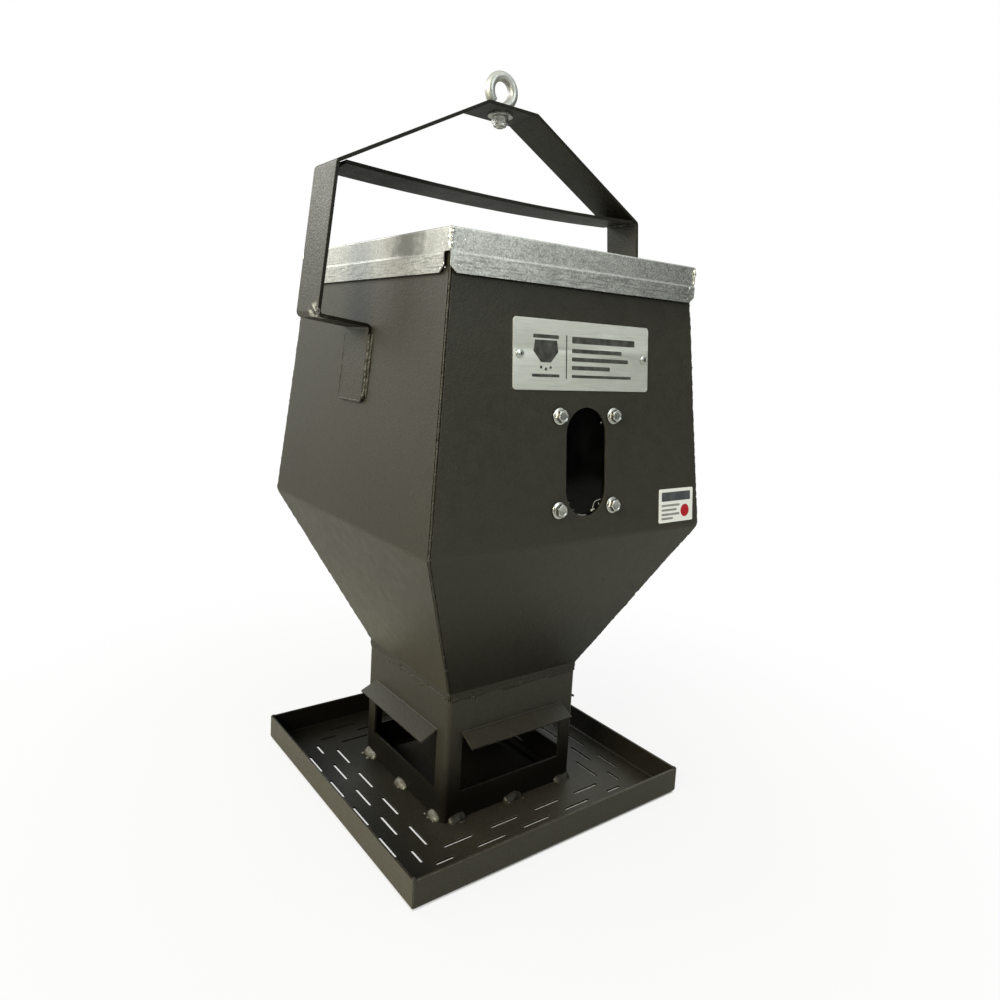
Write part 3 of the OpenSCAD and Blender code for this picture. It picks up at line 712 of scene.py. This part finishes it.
def build_seams():
    """The four corner seams of the hopper: a narrow bead in its groove, with a few stray lumps."""
    bm = bmesh.new()
    low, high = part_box("corner_seam_welds")
    draw = random.Random(11)
    for k, turn in quarter_turns():
        z, seed = low.z, 20 * k
        while z < high.z - 8 * MM:
            end = min(high.z, z + draw.uniform(38, 85) * MM)
            if high.z - end < 15 * MM:
                end = high.z
            line = corner_line(z, end, draw.uniform(1.9, 2.3) * MM)
            weld(bm, line, DIAGONAL, draw.uniform(1.5, 1.9), draw.uniform(1.2, 1.6), seed, turn,
                 pitch=2.4, ripple=0.22, lump=0.32, taper=3, step=0.6, sides=12)
            bed = corner_line(z, end, 2.9 * MM)
            weld(bm, bed, DIAGONAL, 3.6, 1.0, seed + 7, turn, pitch=3, ripple=0.15, lump=0.3, taper=3,
                 step=1.0, sides=10)
            z, seed = end - draw.uniform(0.0, 2.5) * MM, seed + 1
        for _ in range(8):
            z = draw.uniform(low.z + 6 * MM, high.z - 6 * MM)
            spot = corner_line(z, z + 1 * MM, draw.uniform(1.3, 1.7) * MM)[0]
            drawn_blob(bm, draw, spot, DIAGONAL, (1.0, 1.6), (0.5, 0.85), 14, turn)
    add_piece(bm, "seam_beads", PAINT, "feeder", "corner_seam_welds")


def neck_line(x_from, x_to, z, out):
    """A line along the front of the neck, this far out from it."""
    half = half_at("feed_neck", NECK_Z)
    return [Vector((x, -half - out, z)) for x in (x_from, x_to)]


def build_foot_welds():
    """Heavy, lumpy fillets that hold the neck to the tray."""
    bm = bmesh.new()
    floor_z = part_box("neck_foot_welds")[0].z
    half = half_at("feed_neck", NECK_Z)
    draw = random.Random(5)
    out = Vector((0, -1, 0.85)).normalized()
    for k, turn in quarter_turns():
        for j, x in enumerate((-0.82, 0.02, 0.84)):
            run = draw.uniform(8, 11) * MM
            centre = x * half + draw.uniform(-3, 3) * MM
            centre = max(-half + run, min(half - run, centre))
            line = neck_line(centre - run, centre + run, floor_z + 0.6 * MM, 0.9 * MM)
            weld(bm, line, out, draw.uniform(11.5, 13.5), draw.uniform(2.9, 3.6), 3 * k + j + 40, turn,
                 pitch=9, ripple=0.03, lump=0.40, taper=6.5, step=0.6, sides=24, sunk=0.25,
                 grain=0.16, grain_size=6, chatter=0.0)
            for _ in range(3):
                spot = Vector((centre + draw.uniform(-run, run), -half - draw.uniform(4, 6) * MM,
                               floor_z - 0.2 * MM))
                drawn_blob(bm, draw, spot, UP, (1.2, 2.4), (0.8, 1.8), turn=turn)
    piece = add_piece(bm, "foot_beads", LIT_BEAD_PAINT, "feeder", "neck_foot_welds")
    # Beads on the front keep the plain coat, as they lie in shade; the rest take the brighter copy as
    # painted light.
    piece.data.materials.append(PAINT)
    for polygon in piece.data.polygons:
        polygon.material_index = 1 if polygon.center.y < -half + 2 * MM else 0


def build_throat_welds():
    """Low, uneven beads that join the hopper's throat to the neck, with lumps where they stop."""
    bm = bmesh.new()
    z = middle("throat_welds").z
    half = half_at("feed_neck", NECK_Z)
    draw = random.Random(8)
    for k, turn in quarter_turns():
        x, j = -half + 2.0 * MM, 0
        while x < half - 12 * MM:
            end = min(half - 2.0 * MM, x + draw.uniform(18, 42) * MM)
            line = neck_line(x, end, z, -0.25 * MM)
            line[1].z += draw.uniform(-0.7, 0.7) * MM
            weld(bm, line, FRONT, draw.uniform(3.8, 5.6), draw.uniform(0.45, 0.8), 8 * k + j + 70, turn,
                 pitch=5.5, ripple=0.10, lump=0.75, taper=5, step=0.6, sides=14, grain=0.35,
                 grain_size=2)
            for _ in range(3):
                stray = draw.choice((x, end, draw.uniform(x, end))) + draw.uniform(-2, 2) * MM
                stray = max(-half + 3 * MM, min(half - 3 * MM, stray))
                spot = Vector((stray, -half + 0.1 * MM, z + draw.uniform(-2.4, 2.4) * MM))
                drawn_blob(bm, draw, spot, FRONT, (0.8, 1.9), (0.5, 1.1), turn=turn)
            x, j = end + draw.uniform(-1.0, 3.5) * MM, j + 1
    add_piece(bm, "throat_beads", PAINT, "feeder", "throat_welds")


def upright(node, edge, depth):
    """A line up a front-left corner this far out, over a node's height and sunk in by this depth."""
    return [Vector((-edge, -edge, end.z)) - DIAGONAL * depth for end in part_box(node)]


def build_tray_corner_welds():
    """The short beads that close the tray's corners."""
    bm = bmesh.new()
    line = upright("tray_corner_welds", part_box("feed_tray")[1].x, 1.9 * MM)
    draw = random.Random(3)
    for k, turn in quarter_turns():
        weld(bm, line, DIAGONAL, 2.6, 1.25, k + 90, turn, pitch=2.4, ripple=0.22, lump=0.35, taper=2,
             step=0.5, sides=12)
        blob(bm, line[1] + UP * 0.2 * MM - DIAGONAL * 0.6 * MM, UP + 0.4 * DIAGONAL, 2.0, 1.0,
             draw.random() * 50, 16, turn)
    add_piece(bm, "tray_corner_beads", PAINT, "feeder", "tray_corner_welds")


def build_tab_welds():
    """The beads along the edges and under the lower end of the strap's tabs."""
    bm = bmesh.new()
    strap_low, strap_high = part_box("handle_strap")
    low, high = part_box("tab_welds")
    for side, sign in enumerate((-1, 1)):
        aside = Vector((sign, 0, 0))
        line = []
        for i in range(30):
            z = low.z + 3 * MM + (high.z - low.z - 5 * MM) * i / 29
            wall = half_at("right_panel", z)
            line.append(Vector((sign * (wall + 0.5 * MM), strap_low.y + 0.2 * MM, z)))
        weld(bm, line, Vector((sign * 0.8, -1, 0)).normalized(), 4.6, 2.6, side + 110, pitch=4.6,
             ripple=0.12, lump=0.40, taper=4, sides=18, chatter=0.3)
        outer = [p + Vector((-sign * 0.4 * MM, -3.3 * MM, 0)) for p in line[1:]]
        weld(bm, outer, aside, 3.2, 1.3, side + 112, pitch=4, ripple=0.12, lump=0.55, taper=4,
             sides=16, chatter=0.3)
        wall = half_at("right_panel", low.z)
        thick = hit("handle_strap", (sign * FAR, 0, low.z + 4 * MM), -aside)[0].x
        proud = abs(thick) - half_at("right_panel", low.z + 4 * MM)
        rear = [Vector((p.x + sign * (proud - 0.9 * MM), strap_high.y + 0.1 * MM, p.z)) for p in line]
        weld(bm, rear, Vector((sign, 0.3, 0)), 1.7, 0.85, side + 114, pitch=5, ripple=0.08, lump=0.4,
             taper=3, step=0.7, sides=12)
        foot = [Vector((sign * (wall + 0.7 * proud), y, low.z + 1.4 * MM))
                for y in (strap_low.y + 2 * MM, strap_high.y - 1.5 * MM)]
        weld(bm, foot, Vector((sign, 0, -0.8)), 2.6, 1.1, side + 115, lump=0.5, taper=3, step=0.5)
    add_piece(bm, "tab_beads", PAINT, "feeder", "tab_welds")


def build_bar_welds():
    """The beads under the ends of the cross bar."""
    bm = bmesh.new()
    low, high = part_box("cross_bar_welds")
    bar_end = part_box("cross_bar")[1].x
    z = middle("cross_bar_welds").z + 0.3 * MM
    for side, sign in enumerate((-1, 1)):
        x = sign * (bar_end + 0.6 * MM)
        line = [Vector((x, y, z)) for y in (low.y + 5 * MM, high.y - 5 * MM)]
        weld(bm, line, Vector((-sign * 0.5, 0, -1)), 5.0, 2.0, side + 130, pitch=2.8, ripple=0.22,
             lump=0.4, taper=4)
    add_piece(bm, "bar_beads", PAINT, "feeder", "cross_bar_welds")


def build_lid_solder():
    """Bright lumpy solder in the upper part of each lid corner, with a few spatters beside it."""
    bm = bmesh.new()
    low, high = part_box("lid_corner_welds")
    edge = high.x
    line = upright("lid_corner_welds", edge, 0.9 * MM)
    draw = random.Random(21)
    for k, turn in quarter_turns():
        weld(bm, line, DIAGONAL, 4.2, 1.4, k + 150, turn, pitch=3.6, ripple=0.16, lump=0.7, taper=1.6,
             step=0.4, sides=18)
        for _ in range(9):
            along = draw.uniform(2, 13) * MM
            z = draw.uniform(low.z - 14 * MM, high.z - 2 * MM)
            on_front = draw.choice((0, 1))
            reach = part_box("lid")[1].x if z < low.z - 3 * MM else edge
            spot = Vector((-edge + along, -reach, z) if on_front else (-reach, -edge + along, z))
            normal = FRONT if on_front else Vector((-1, 0, 0))
            drawn_blob(bm, draw, spot - normal * 0.15 * MM, normal, (0.5, 1.25), (0.4, 0.85), 10, turn)
    add_piece(bm, "lid_solder", SOLDER, "lid", "lid_corner_welds")


def build_spatter():
    """Specks of weld spatter and paint nibs, thickest near the seams."""
    bm = bmesh.new()
    draw = random.Random(33)
    low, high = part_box("corner_seam_welds")
    for _, turn in quarter_turns():
        for _ in range(26):
            z = draw.uniform(low.z + 12 * MM, high.z - 30 * MM)
            place, normal = hit("right_panel", (FAR, 0, z), (-1, 0, 0))
            near = draw.random() < 0.7
            along = place.x - draw.uniform(4, 22) * MM if near else draw.uniform(0.2, 0.9) * place.x
            along *= draw.choice((-1, 1))
            spot = Vector((place.x, along, z)) - normal * 0.12 * MM
            drawn_blob(bm, draw, spot, normal, (0.3, 0.75), (0.3, 0.6), 8, turn)
    add_piece(bm, "paint_nibs", PAINT, "feeder", None)


def build_specks():
    """A few black pits and dirt specks on the walls."""
    bm = bmesh.new()
    draw = random.Random(52)
    low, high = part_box("corner_seam_welds")
    throat_half = half_at("right_panel", low.z)
    turns = [turn for _, turn in quarter_turns()]
    marks = [(turns[1], -19 * MM, 453.5 * MM), (turns[1], -30 * MM, 374.5 * MM),
             (turns[1], -124 * MM, 273.5 * MM)]
    for turn in turns:
        marks += [(turn, draw.uniform(-0.8, 0.8) * throat_half,
                   draw.uniform(low.z + 60 * MM, high.z - 40 * MM)) for _ in range(3)]
    for turn, along, z in marks:
        place, normal = hit("back_panel", (0.05, FAR, z), FRONT)
        spot = Vector((along, place.y, z)) - normal * 0.15 * MM
        drawn_blob(bm, draw, spot, normal, (0.55, 0.8), (0.3, 0.5), 10, turn)
    add_piece(bm, "dirt_specks", TAR, "feeder", None)


# ---- Hardware ----

def hex_radius(across_flats):
    """The radius of a hexagon at each angle."""
    def radius(angle):
        return across_flats / 2 / math.cos((angle + math.pi / 6) % (math.pi / 3) - math.pi / 6)
    return radius


def chamfer_height(across_flats, height, flat_r):
    """The height at which a hexagon's side meets a 30 degree cone that leaves a flat_r flat."""
    radius = hex_radius(across_flats)

    def top(angle):
        return height - max(0.0, radius(angle) - flat_r) * math.tan(math.radians(30))
    return top


def thread(outer, pitch, start, end):
    """The profile of a screw thread as (radius, height) pairs."""
    depth = 0.6 * pitch
    count = int((end - start) / pitch)
    made = []
    for i in range(count):
        z = start + i * pitch
        made += [(outer - depth, z), (outer - depth, z + 0.12 * pitch),
                 (outer, z + 0.42 * pitch), (outer, z + 0.58 * pitch)]
    return made + [(outer - depth, start + count * pitch)]


def wall_points(node):
    """The corners of a node's mesh in the front wall's own frame."""
    inverse = WALL.inverted()
    return [inverse @ v.co for v in NODES[node].data.vertices]


def amid(points):
    """The middle of the box round some points, as a place on the wall."""
    spans = [[p[i] for p in points] for i in (0, 1)]
    return Vector([(min(span) + max(span)) / 2 for span in spans] + [0])


def face_of(node):
    """The middle of a node on the front wall, and how far its face stands out, in the wall's frame."""
    points = wall_points(node)
    return amid(points), max(p.z for p in points)


def wall_spots(node):
    """Where the solids of a node on the front wall are centred, in the wall's own frame."""
    groups = {}
    points = wall_points(node)
    middle_y = amid(points).y
    tall = max(p.y for p in points) - middle_y > 20 * MM
    for p in points:
        groups.setdefault((p.x > 0, tall and p.y > middle_y), []).append(p)
    return [amid(group) for group in groups.values()]


def build_window_bolts():
    """Hex flange bolts with turned chamfers and dished tops."""
    bm = bmesh.new()
    low = min(p.z for p in wall_points("window_bolts")) / MM
    draw = random.Random(14)
    across, height, flange, shank = 9.5, 5.9, 7.1, 3.1
    flat_r = 0.46 * across
    side, top = hex_radius(across), chamfer_height(across, height, flat_r)
    head = [(shank + 0.1, 0.0), (flange - 0.3, 0.0), (flange, 0.25), (flange, 0.75),
            (flange - 0.25, 1.05), (flange - 0.9, 1.25), (lambda a: side(a) + 0.25, 1.65),
            (side, 2.0), (side, top), (flat_r, height), (flat_r - 0.5, height),
            (flat_r - 1.1, height - 0.35), (0.8, height - 0.5)]
    for spot in wall_spots("window_bolts"):
        turn = Matrix.Rotation(draw.uniform(0, math.pi / 3), 4, "Z")
        placed = WALL @ Matrix.Translation(spot) @ turn
        turned(bm, placed, head, 72)
        turned(bm, placed, thread(shank, 1.25, low, 0.4), 24)
    piece = add_piece(bm, "window_bolt_heads", ZINC, "feeder", "window_bolts", crease=24)
    soften(piece, 0.16 * MM)
    even_out(piece)


def build_torn_film():
    """Scraps of the pane's protective film, left where it was torn away round the opening."""
    bm = bmesh.new()
    centre, face = face_of("sight_pane")
    straight, radius = 23.2 * MM, 22.8 * MM

    def on_pane(end, angle, r):
        a = math.radians(angle)
        return WALL @ Vector((centre.x + r * math.cos(a), centre.y + end * straight + r * math.sin(a), face))

    for low, high, bulge, width, seed in ((-66, -26, 5.2, 0.4, 61), (-67, -55, 0.8, 0.6, 64)):
        arc = []
        for i in range(13):
            swell = math.sin(math.pi * i / 12)
            arc.append(on_pane(-1, low + (high - low) * i / 12, radius - (1.0 + bulge * swell) * MM))
        weld(bm, arc, WALL_OUT, width, 0.3, seed, ripple=0.1, lump=0.9, taper=4, sides=8)
    lip = [on_pane(-1, angle, radius - 0.7 * MM) for angle in range(-112, -82, 4)]
    weld(bm, lip, WALL_OUT, 0.6, 0.3, 62, ripple=0.1, lump=0.8, taper=2, sides=8)
    draw = random.Random(63)
    for end, angle, r, wide in ((-1, -66, 2.4, 1.0), (-1, -58, 1.6, 0.6), (1, 28, 1.8, 0.6),
                                (-1, -150, 2.2, 0.45), (-1, -128, 1.6, 0.4), (-1, -40, 1.0, 0.5)):
        blob(bm, on_pane(end, angle, radius - r * MM), WALL_OUT, wide, 0.35, draw.random() * 50)
    add_piece(bm, "torn_film", SCRAP, "feeder", None)


def build_rivets():
    """Domed rivets, each with the small pit left by its broken mandrel."""
    bm = bmesh.new()
    heights = [p.z / MM for p in wall_points("nameplate_rivets")]
    top, low = max(heights), min(heights)
    plate = max(p.z for p in wall_points("nameplate")) / MM
    rise, wide = top - plate, 3.9
    head = [(2.0, low), (2.0, plate), (wide, plate), (wide, plate + 0.2 * rise)]
    for k in range(1, 7):
        tilt = math.radians(12 * k)
        head.append((wide * math.cos(tilt), plate + rise * (0.2 + 0.8 * math.sin(tilt))))
    head += [(1.0, top), (0.9, top - 0.5), (0.35, top - 0.25)]
    for spot in wall_spots("nameplate_rivets"):
        turned(bm, WALL @ Matrix.Translation(spot), head, 40)
    add_piece(bm, "plate_rivets", ZINC, "feeder", "nameplate_rivets", crease=50)


def curve_points(a, b, c, d, count):
    """Points of a cubic curve."""
    made = []
    for i in range(count + 1):
        t = i / count
        made.append(a * (1 - t) ** 3 + b * 3 * t * (1 - t) ** 2 + c * 3 * t * t * (1 - t) + d * t ** 3)
    return made


def build_eye():
    """A turned eye bolt: one rod, threaded below and bent round into a ring."""
    bm = bmesh.new()
    low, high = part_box("eye_bolt")
    rod = (high.y - low.y) / 2
    ring = high.x - rod
    centre = Vector((0, 0, high.z - high.x))
    start, end = math.radians(-50), math.radians(229)

    def on_ring(angle, push=0.0):
        return centre + Vector((ring * math.cos(angle), push, ring * math.sin(angle)))

    root = Vector((0, 0, centre.z - ring - 9.5 * MM))
    first = on_ring(start)
    heading = Vector((-math.sin(start), 0, math.cos(start)))
    path = curve_points(root, root + UP * 5 * MM, first - heading * 5.5 * MM, first, 10)
    steps = 64
    for i in range(1, steps + 1):
        angle = start + (end - start) * i / steps
        share = max(0.0, (i / steps - 0.7) / 0.3)
        path.append(on_ring(angle, 1.1 * MM * share ** 2))
    rings = []
    sides = 32
    previous = Vector((1, 0, 0))
    for i, p in enumerate(path):
        ahead = course(path, i)
        previous = (previous - previous.dot(ahead) * ahead).normalized()
        other = ahead.cross(previous)
        r = rod * (1 + 0.008 * ragged(p, 6 * MM, 3))
        rings.append([p + (previous * math.cos(a) + other * math.sin(a)) * r for a in full_circle(sides)])
    tip = path[-1]
    last = rings[-1]
    ahead = (path[-1] - path[-2]).normalized()
    for share, out in ((0.97, 0.25), (0.9, 0.45), (0.8, 0.5)):
        rings.append([tip + (q - tip) * share + ahead * out * MM for q in last])
    skin_rings(bm, rings)
    r, foot, neck = rod / MM, low.z / MM, root.z / MM
    profile = [(r - 1.6, foot), (r - 1.1, foot + 0.5), *thread(r, 1.6, foot + 1.0, neck - 3),
               (r, neck - 1.6), (r, neck + 0.05)]
    turned(bm, NO_TURN, profile, sides)
    add_piece(bm, "eye_rod", SATIN, "hanging_eye", "eye_bolt", crease=40)


def build_lock_nut():
    """A lock nut turned collar down, with its nylon ring showing."""
    low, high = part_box("eye_nut")
    across = (high.y - low.y) / MM
    flat_r = 0.465 * across
    collar = 2.6
    height = (high.z - low.z) / MM - collar
    tip = height + collar
    side = hex_radius(across)
    top = chamfer_height(across, height, flat_r)
    rod = size("eye_bolt").y / 2 / MM
    placed = Matrix.Translation((0, 0, high.z)) @ Matrix.Rotation(math.pi, 4, "X")
    bm = bmesh.new()
    body = [(rod + 0.1, 0.3), (flat_r - 0.6, 0.0), (flat_r, 0.15),
            (side, lambda a: height - top(a) + 0.2), (side, top), (flat_r, height),
            (flat_r - 0.15, height + 0.4), (flat_r - 0.2, tip - 0.9), (flat_r - 0.6, tip - 0.3),
            (flat_r - 1.2, tip), (rod + 0.75, tip - 0.15), (rod + 0.7, height + 0.4)]
    turned(bm, placed, body, 72)
    nut = add_piece(bm, "lock_nut", LIT_SATIN, "hanging_eye", "eye_nut", crease=24)
    soften(nut, 0.18 * MM)
    even_out(nut)
    bm = bmesh.new()
    ring = [(rod + 0.02, height), (rod + 0.74, height), (rod + 0.74, tip - 0.4), (rod + 0.5, tip - 0.25),
            (rod + 0.02, tip - 0.5)]
    turned(bm, placed, ring, 48)
    add_piece(bm, "nut_nylon", NYLON, "hanging_eye", crease=35)


# ---- Generic prints ----

def rounded_box(width, height, radius, cx=0.0, cy=0.0):
    """The outline of a rectangle with round corners."""
    made = []
    for k in range(4):
        sx, sy = ((1, 1), (-1, 1), (-1, -1), (1, -1))[k]
        for j in range(6):
            angle = math.pi / 2 * (k + j / 5)
            made.append((cx + sx * (width / 2 - radius) + radius * math.cos(angle),
                         cy + sy * (height / 2 - radius) + radius * math.sin(angle)))
    return made


def disc(radius, cx, cy):
    return [(cx + radius * math.cos(a), cy + radius * math.sin(a)) for a in full_circle(28)]


def inlay(name, outlines, origin, base, thickness, material):
    """Flat shapes of real thickness on the front wall; outlines are in millimetres about origin."""
    bm = bmesh.new()
    for outline in outlines:
        low, high = [], []
        for x, y in outline:
            at = origin + Vector((x * MM, y * MM, 0))
            low.append(bm.verts.new(WALL @ (at + Vector((0, 0, base)))))
            high.append(bm.verts.new(WALL @ (at + Vector((0, 0, base + thickness)))))
        bm.faces.new(low[::-1])
        bm.faces.new(high)
        count = len(outline)
        for i in range(count):
            j = (i + 1) % count
            bm.faces.new((low[i], low[j], high[j], high[i]))
    add_piece(bm, name, material, "feeder", crease=35)


def build_prints():
    """A plain pictogram of a hopper and plain bars on the plate, and a plain device on the label."""
    origin, face = face_of("nameplate")
    left = -43
    hopper = [
        rounded_box(27, 3.0, 0.8, left, 14.5),
        [(left - 11.5, 11.6), (left - 13.2, 2.6), (left - 5.2, -6.2), (left + 5.2, -6.2),
         (left + 13.2, 2.6), (left + 11.5, 11.6)],
        disc(1.25, left - 5.0, -10.2), disc(1.25, left, -11.6), disc(1.25, left + 5.0, -10.2),
        rounded_box(29, 2.4, 0.8, left, -16.8),
    ]
    bars = [rounded_box(1.2, 36, 0.5, -21, -1.2)]
    for y, length, tall in ((13.2, 74, 5.6), (4.2, 58, 3.4), (-2.8, 66, 3.4), (-9.8, 44, 3.4),
                            (-16.8, 70, 2.4)):
        bars.append(rounded_box(length, tall, 0.9, -15 + length / 2, y))
    inlay("plate_print", hopper + bars, origin, face - 0.02 * MM, 0.07 * MM, PLATE_INK)

    origin, face = face_of("label")
    base = face - 0.02 * MM
    inlay("label_band", [rounded_box(40, 8.5, 1.0, 0, 8.4)], origin, base, 0.06 * MM, SLATE_INK)
    lines = [rounded_box(length, 2.0, 0.5, -20 + length / 2, y)
             for y, length in ((0.2, 25), (-4.0, 21), (-8.2, 25), (-12.0, 16))]
    inlay("label_lines", lines, origin, base, 0.06 * MM, GREY_INK)
    inlay("label_mark", [disc(6.0, 12.6, -5.8)], origin, base, 0.06 * MM, RED_INK)


build_seams()
build_foot_welds()
build_throat_welds()
build_tray_corner_welds()
build_tab_welds()
build_bar_welds()
build_lid_solder()
build_spatter()
build_specks()
build_window_bolts()
build_torn_film()
build_rivets()
build_eye()
build_lock_nut()
build_prints()


# ---- CAD nodes that keep their shape ----

def smooth_tree():
    """Geometry nodes that shade a CAD mesh smooth, except across its sharp edges."""
    tree = bpy.data.node_groups.new("smooth_sheet", "GeometryNodeTree")
    for way in ("INPUT", "OUTPUT"):
        tree.interface.new_socket("Geometry", in_out=way, socket_type="NodeSocketGeometry")
    start, drop, faces, edges, end, angle, sharp = (tree.nodes.new(kind) for kind in (
        "NodeGroupInput", "GeometryNodeRemoveAttribute", "GeometryNodeSetShadeSmooth",
        "GeometryNodeSetShadeSmooth", "NodeGroupOutput", "GeometryNodeInputMeshEdgeAngle",
        "FunctionNodeCompare"))
    drop.inputs["Name"].default_value = "custom_normal"
    faces.domain = "FACE"
    edges.domain = "EDGE"
    edges.inputs["Shade Smooth"].default_value = False
    sharp.data_type = "FLOAT"
    sharp.operation = "GREATER_THAN"
    sharp.inputs[1].default_value = math.radians(32)
    for a, b in ((start, drop), (drop, faces), (faces, edges), (edges, end)):
        tree.links.new(a.outputs[0], b.inputs[0])
    tree.links.new(angle.outputs["Unsigned Angle"], sharp.inputs[0])
    tree.links.new(sharp.outputs[0], edges.inputs["Selection"])
    return tree


SMOOTH = smooth_tree()


def dress(node, material, edge=0.35 * MM):
    """Gives a CAD node its material and softly rounded edges."""
    shown = NODES[node]
    shown.data.materials.clear()
    shown.data.materials.append(material)
    modify(shown, "join", "WELD", merge_threshold=0.002 * MM)
    modify(shown, "flats", "DECIMATE", decimate_type="DISSOLVE", angle_limit=math.radians(0.4))
    if edge:
        soften(shown, edge, 40, miter_outer="MITER_ARC")
    modify(shown, "shade", "NODES", node_group=SMOOTH)
    even_out(shown)


for name in ("front_panel", "back_panel", "left_panel", "right_panel"):
    dress(name, PAINT)
dress("feed_tray", TRAY_PAINT)
dress("feed_neck", NECK_PAINT)
dress("cross_bar", BAR_PAINT)
dress("handle_strap", STRAP_PAINT, edge=0.6 * MM)
dress("feed_diverter", SHADED_INNER_PAINT)
dress("lid", GALVANISED, edge=0.2 * MM)
dress("nameplate", PLATE, edge=0.15 * MM)
dress("label", FILM, edge=0)
dress("sight_pane", PANE, edge=0.2 * MM)
dress("window_nuts", ZINC, edge=0.2 * MM)
dress("eye_washer", LIT_SATIN, edge=0.25 * MM)


# ---- Floor, light and camera ----

def build_stage():
    bm = bmesh.new()
    reach = 6.0
    for x, y in ((-1, -1), (1, -1), (1, 1), (-1, 1)):
        bm.verts.new((x * reach, y * reach, cad_low.z - 0.3 * MM))
    bm.faces.new(bm.verts)
    floor = to_object(bm, "floor", pale_floor())


def area_light(name, place, target, width, height, power, colour=(1, 1, 1)):
    data = bpy.data.lights.new(name, "AREA")
    data.shape = "RECTANGLE"
    data.size = width
    data.size_y = height
    data.energy = power
    data.color = colour
    light = add_object(name, data)
    light.location = place
    light.rotation_euler = (Vector(target) - Vector(place)).to_track_quat("-Z", "Y").to_euler()


ZENITH = 1.0
DARK_HORIZON = 0.04
LIT_HORIZON = 0.85
LIT_SIDE = Vector((-0.45, 0.89, 0)).normalized()


def build_world():
    """A soft surround, bright above and low behind the left, that the camera sees as white."""
    s = Shader("studio", bpy.data.worlds, place="Generated")
    horizon = s.spread(s.along(s.place, LIT_SIDE), -0.1, 0.85, DARK_HORIZON, LIT_HORIZON, smooth=True)
    level = s.spread(s.axes(s.place)["Z"], 0.08, 0.72, horizon, ZENITH, smooth=True)
    glow = s.node("Background", {"Color": (0.96, 1.0, 0.95), "Strength": level}).outputs[0]
    seen = s.node("Background", {"Color": (1, 1, 1)}).outputs[0]
    by_camera = s.node("LightPath").outputs["Is Camera Ray"]
    mixed = s.node("MixShader", {0: by_camera, 1: glow, 2: seen}).outputs[0]
    bpy.context.scene.world = s.finish(mixed, "OutputWorld")


def build_camera():
    stands_at = Vector((-0.4371, -0.6062, 0.4310))
    azimuth, pitch, roll = math.radians(-37.09), math.radians(6.46), math.radians(3.27)
    ahead = Vector((-math.sin(azimuth) * math.cos(pitch), math.cos(azimuth) * math.cos(pitch),
                    -math.sin(pitch)))
    level = Vector((math.cos(azimuth), math.sin(azimuth), 0))
    above = level.cross(ahead)
    right = math.cos(roll) * level + math.sin(roll) * above
    top = math.cos(roll) * above - math.sin(roll) * level
    data = bpy.data.cameras.new("camera")
    data.sensor_width = 36
    data.lens = 27.166
    data.shift_x = 0.0002
    data.shift_y = -0.0631
    camera = add_object("camera", data)
    placed = Matrix((right, top, -ahead)).transposed().to_4x4()
    placed.translation = stands_at
    camera.matrix_world = placed
    bpy.context.scene.camera = camera


build_stage()
build_world()
build_camera()
heart = Vector((0, 0, 0.35))
area_light("key", (-2.2, -0.5, 1.3), heart, 1.5, 1.2, 68, (1.0, 0.917, 0.67))
area_light("back", (-1.15, 1.95, 1.5), heart, 1.3, 0.9, 16, (1.0, 0.99, 0.94))
area_light("fill", (0.6, -2.4, 1.5), heart, 0.8, 0.9, 13, (0.91, 1.0, 0.99))
bpy.context.scene.view_settings.view_transform = "Standard"
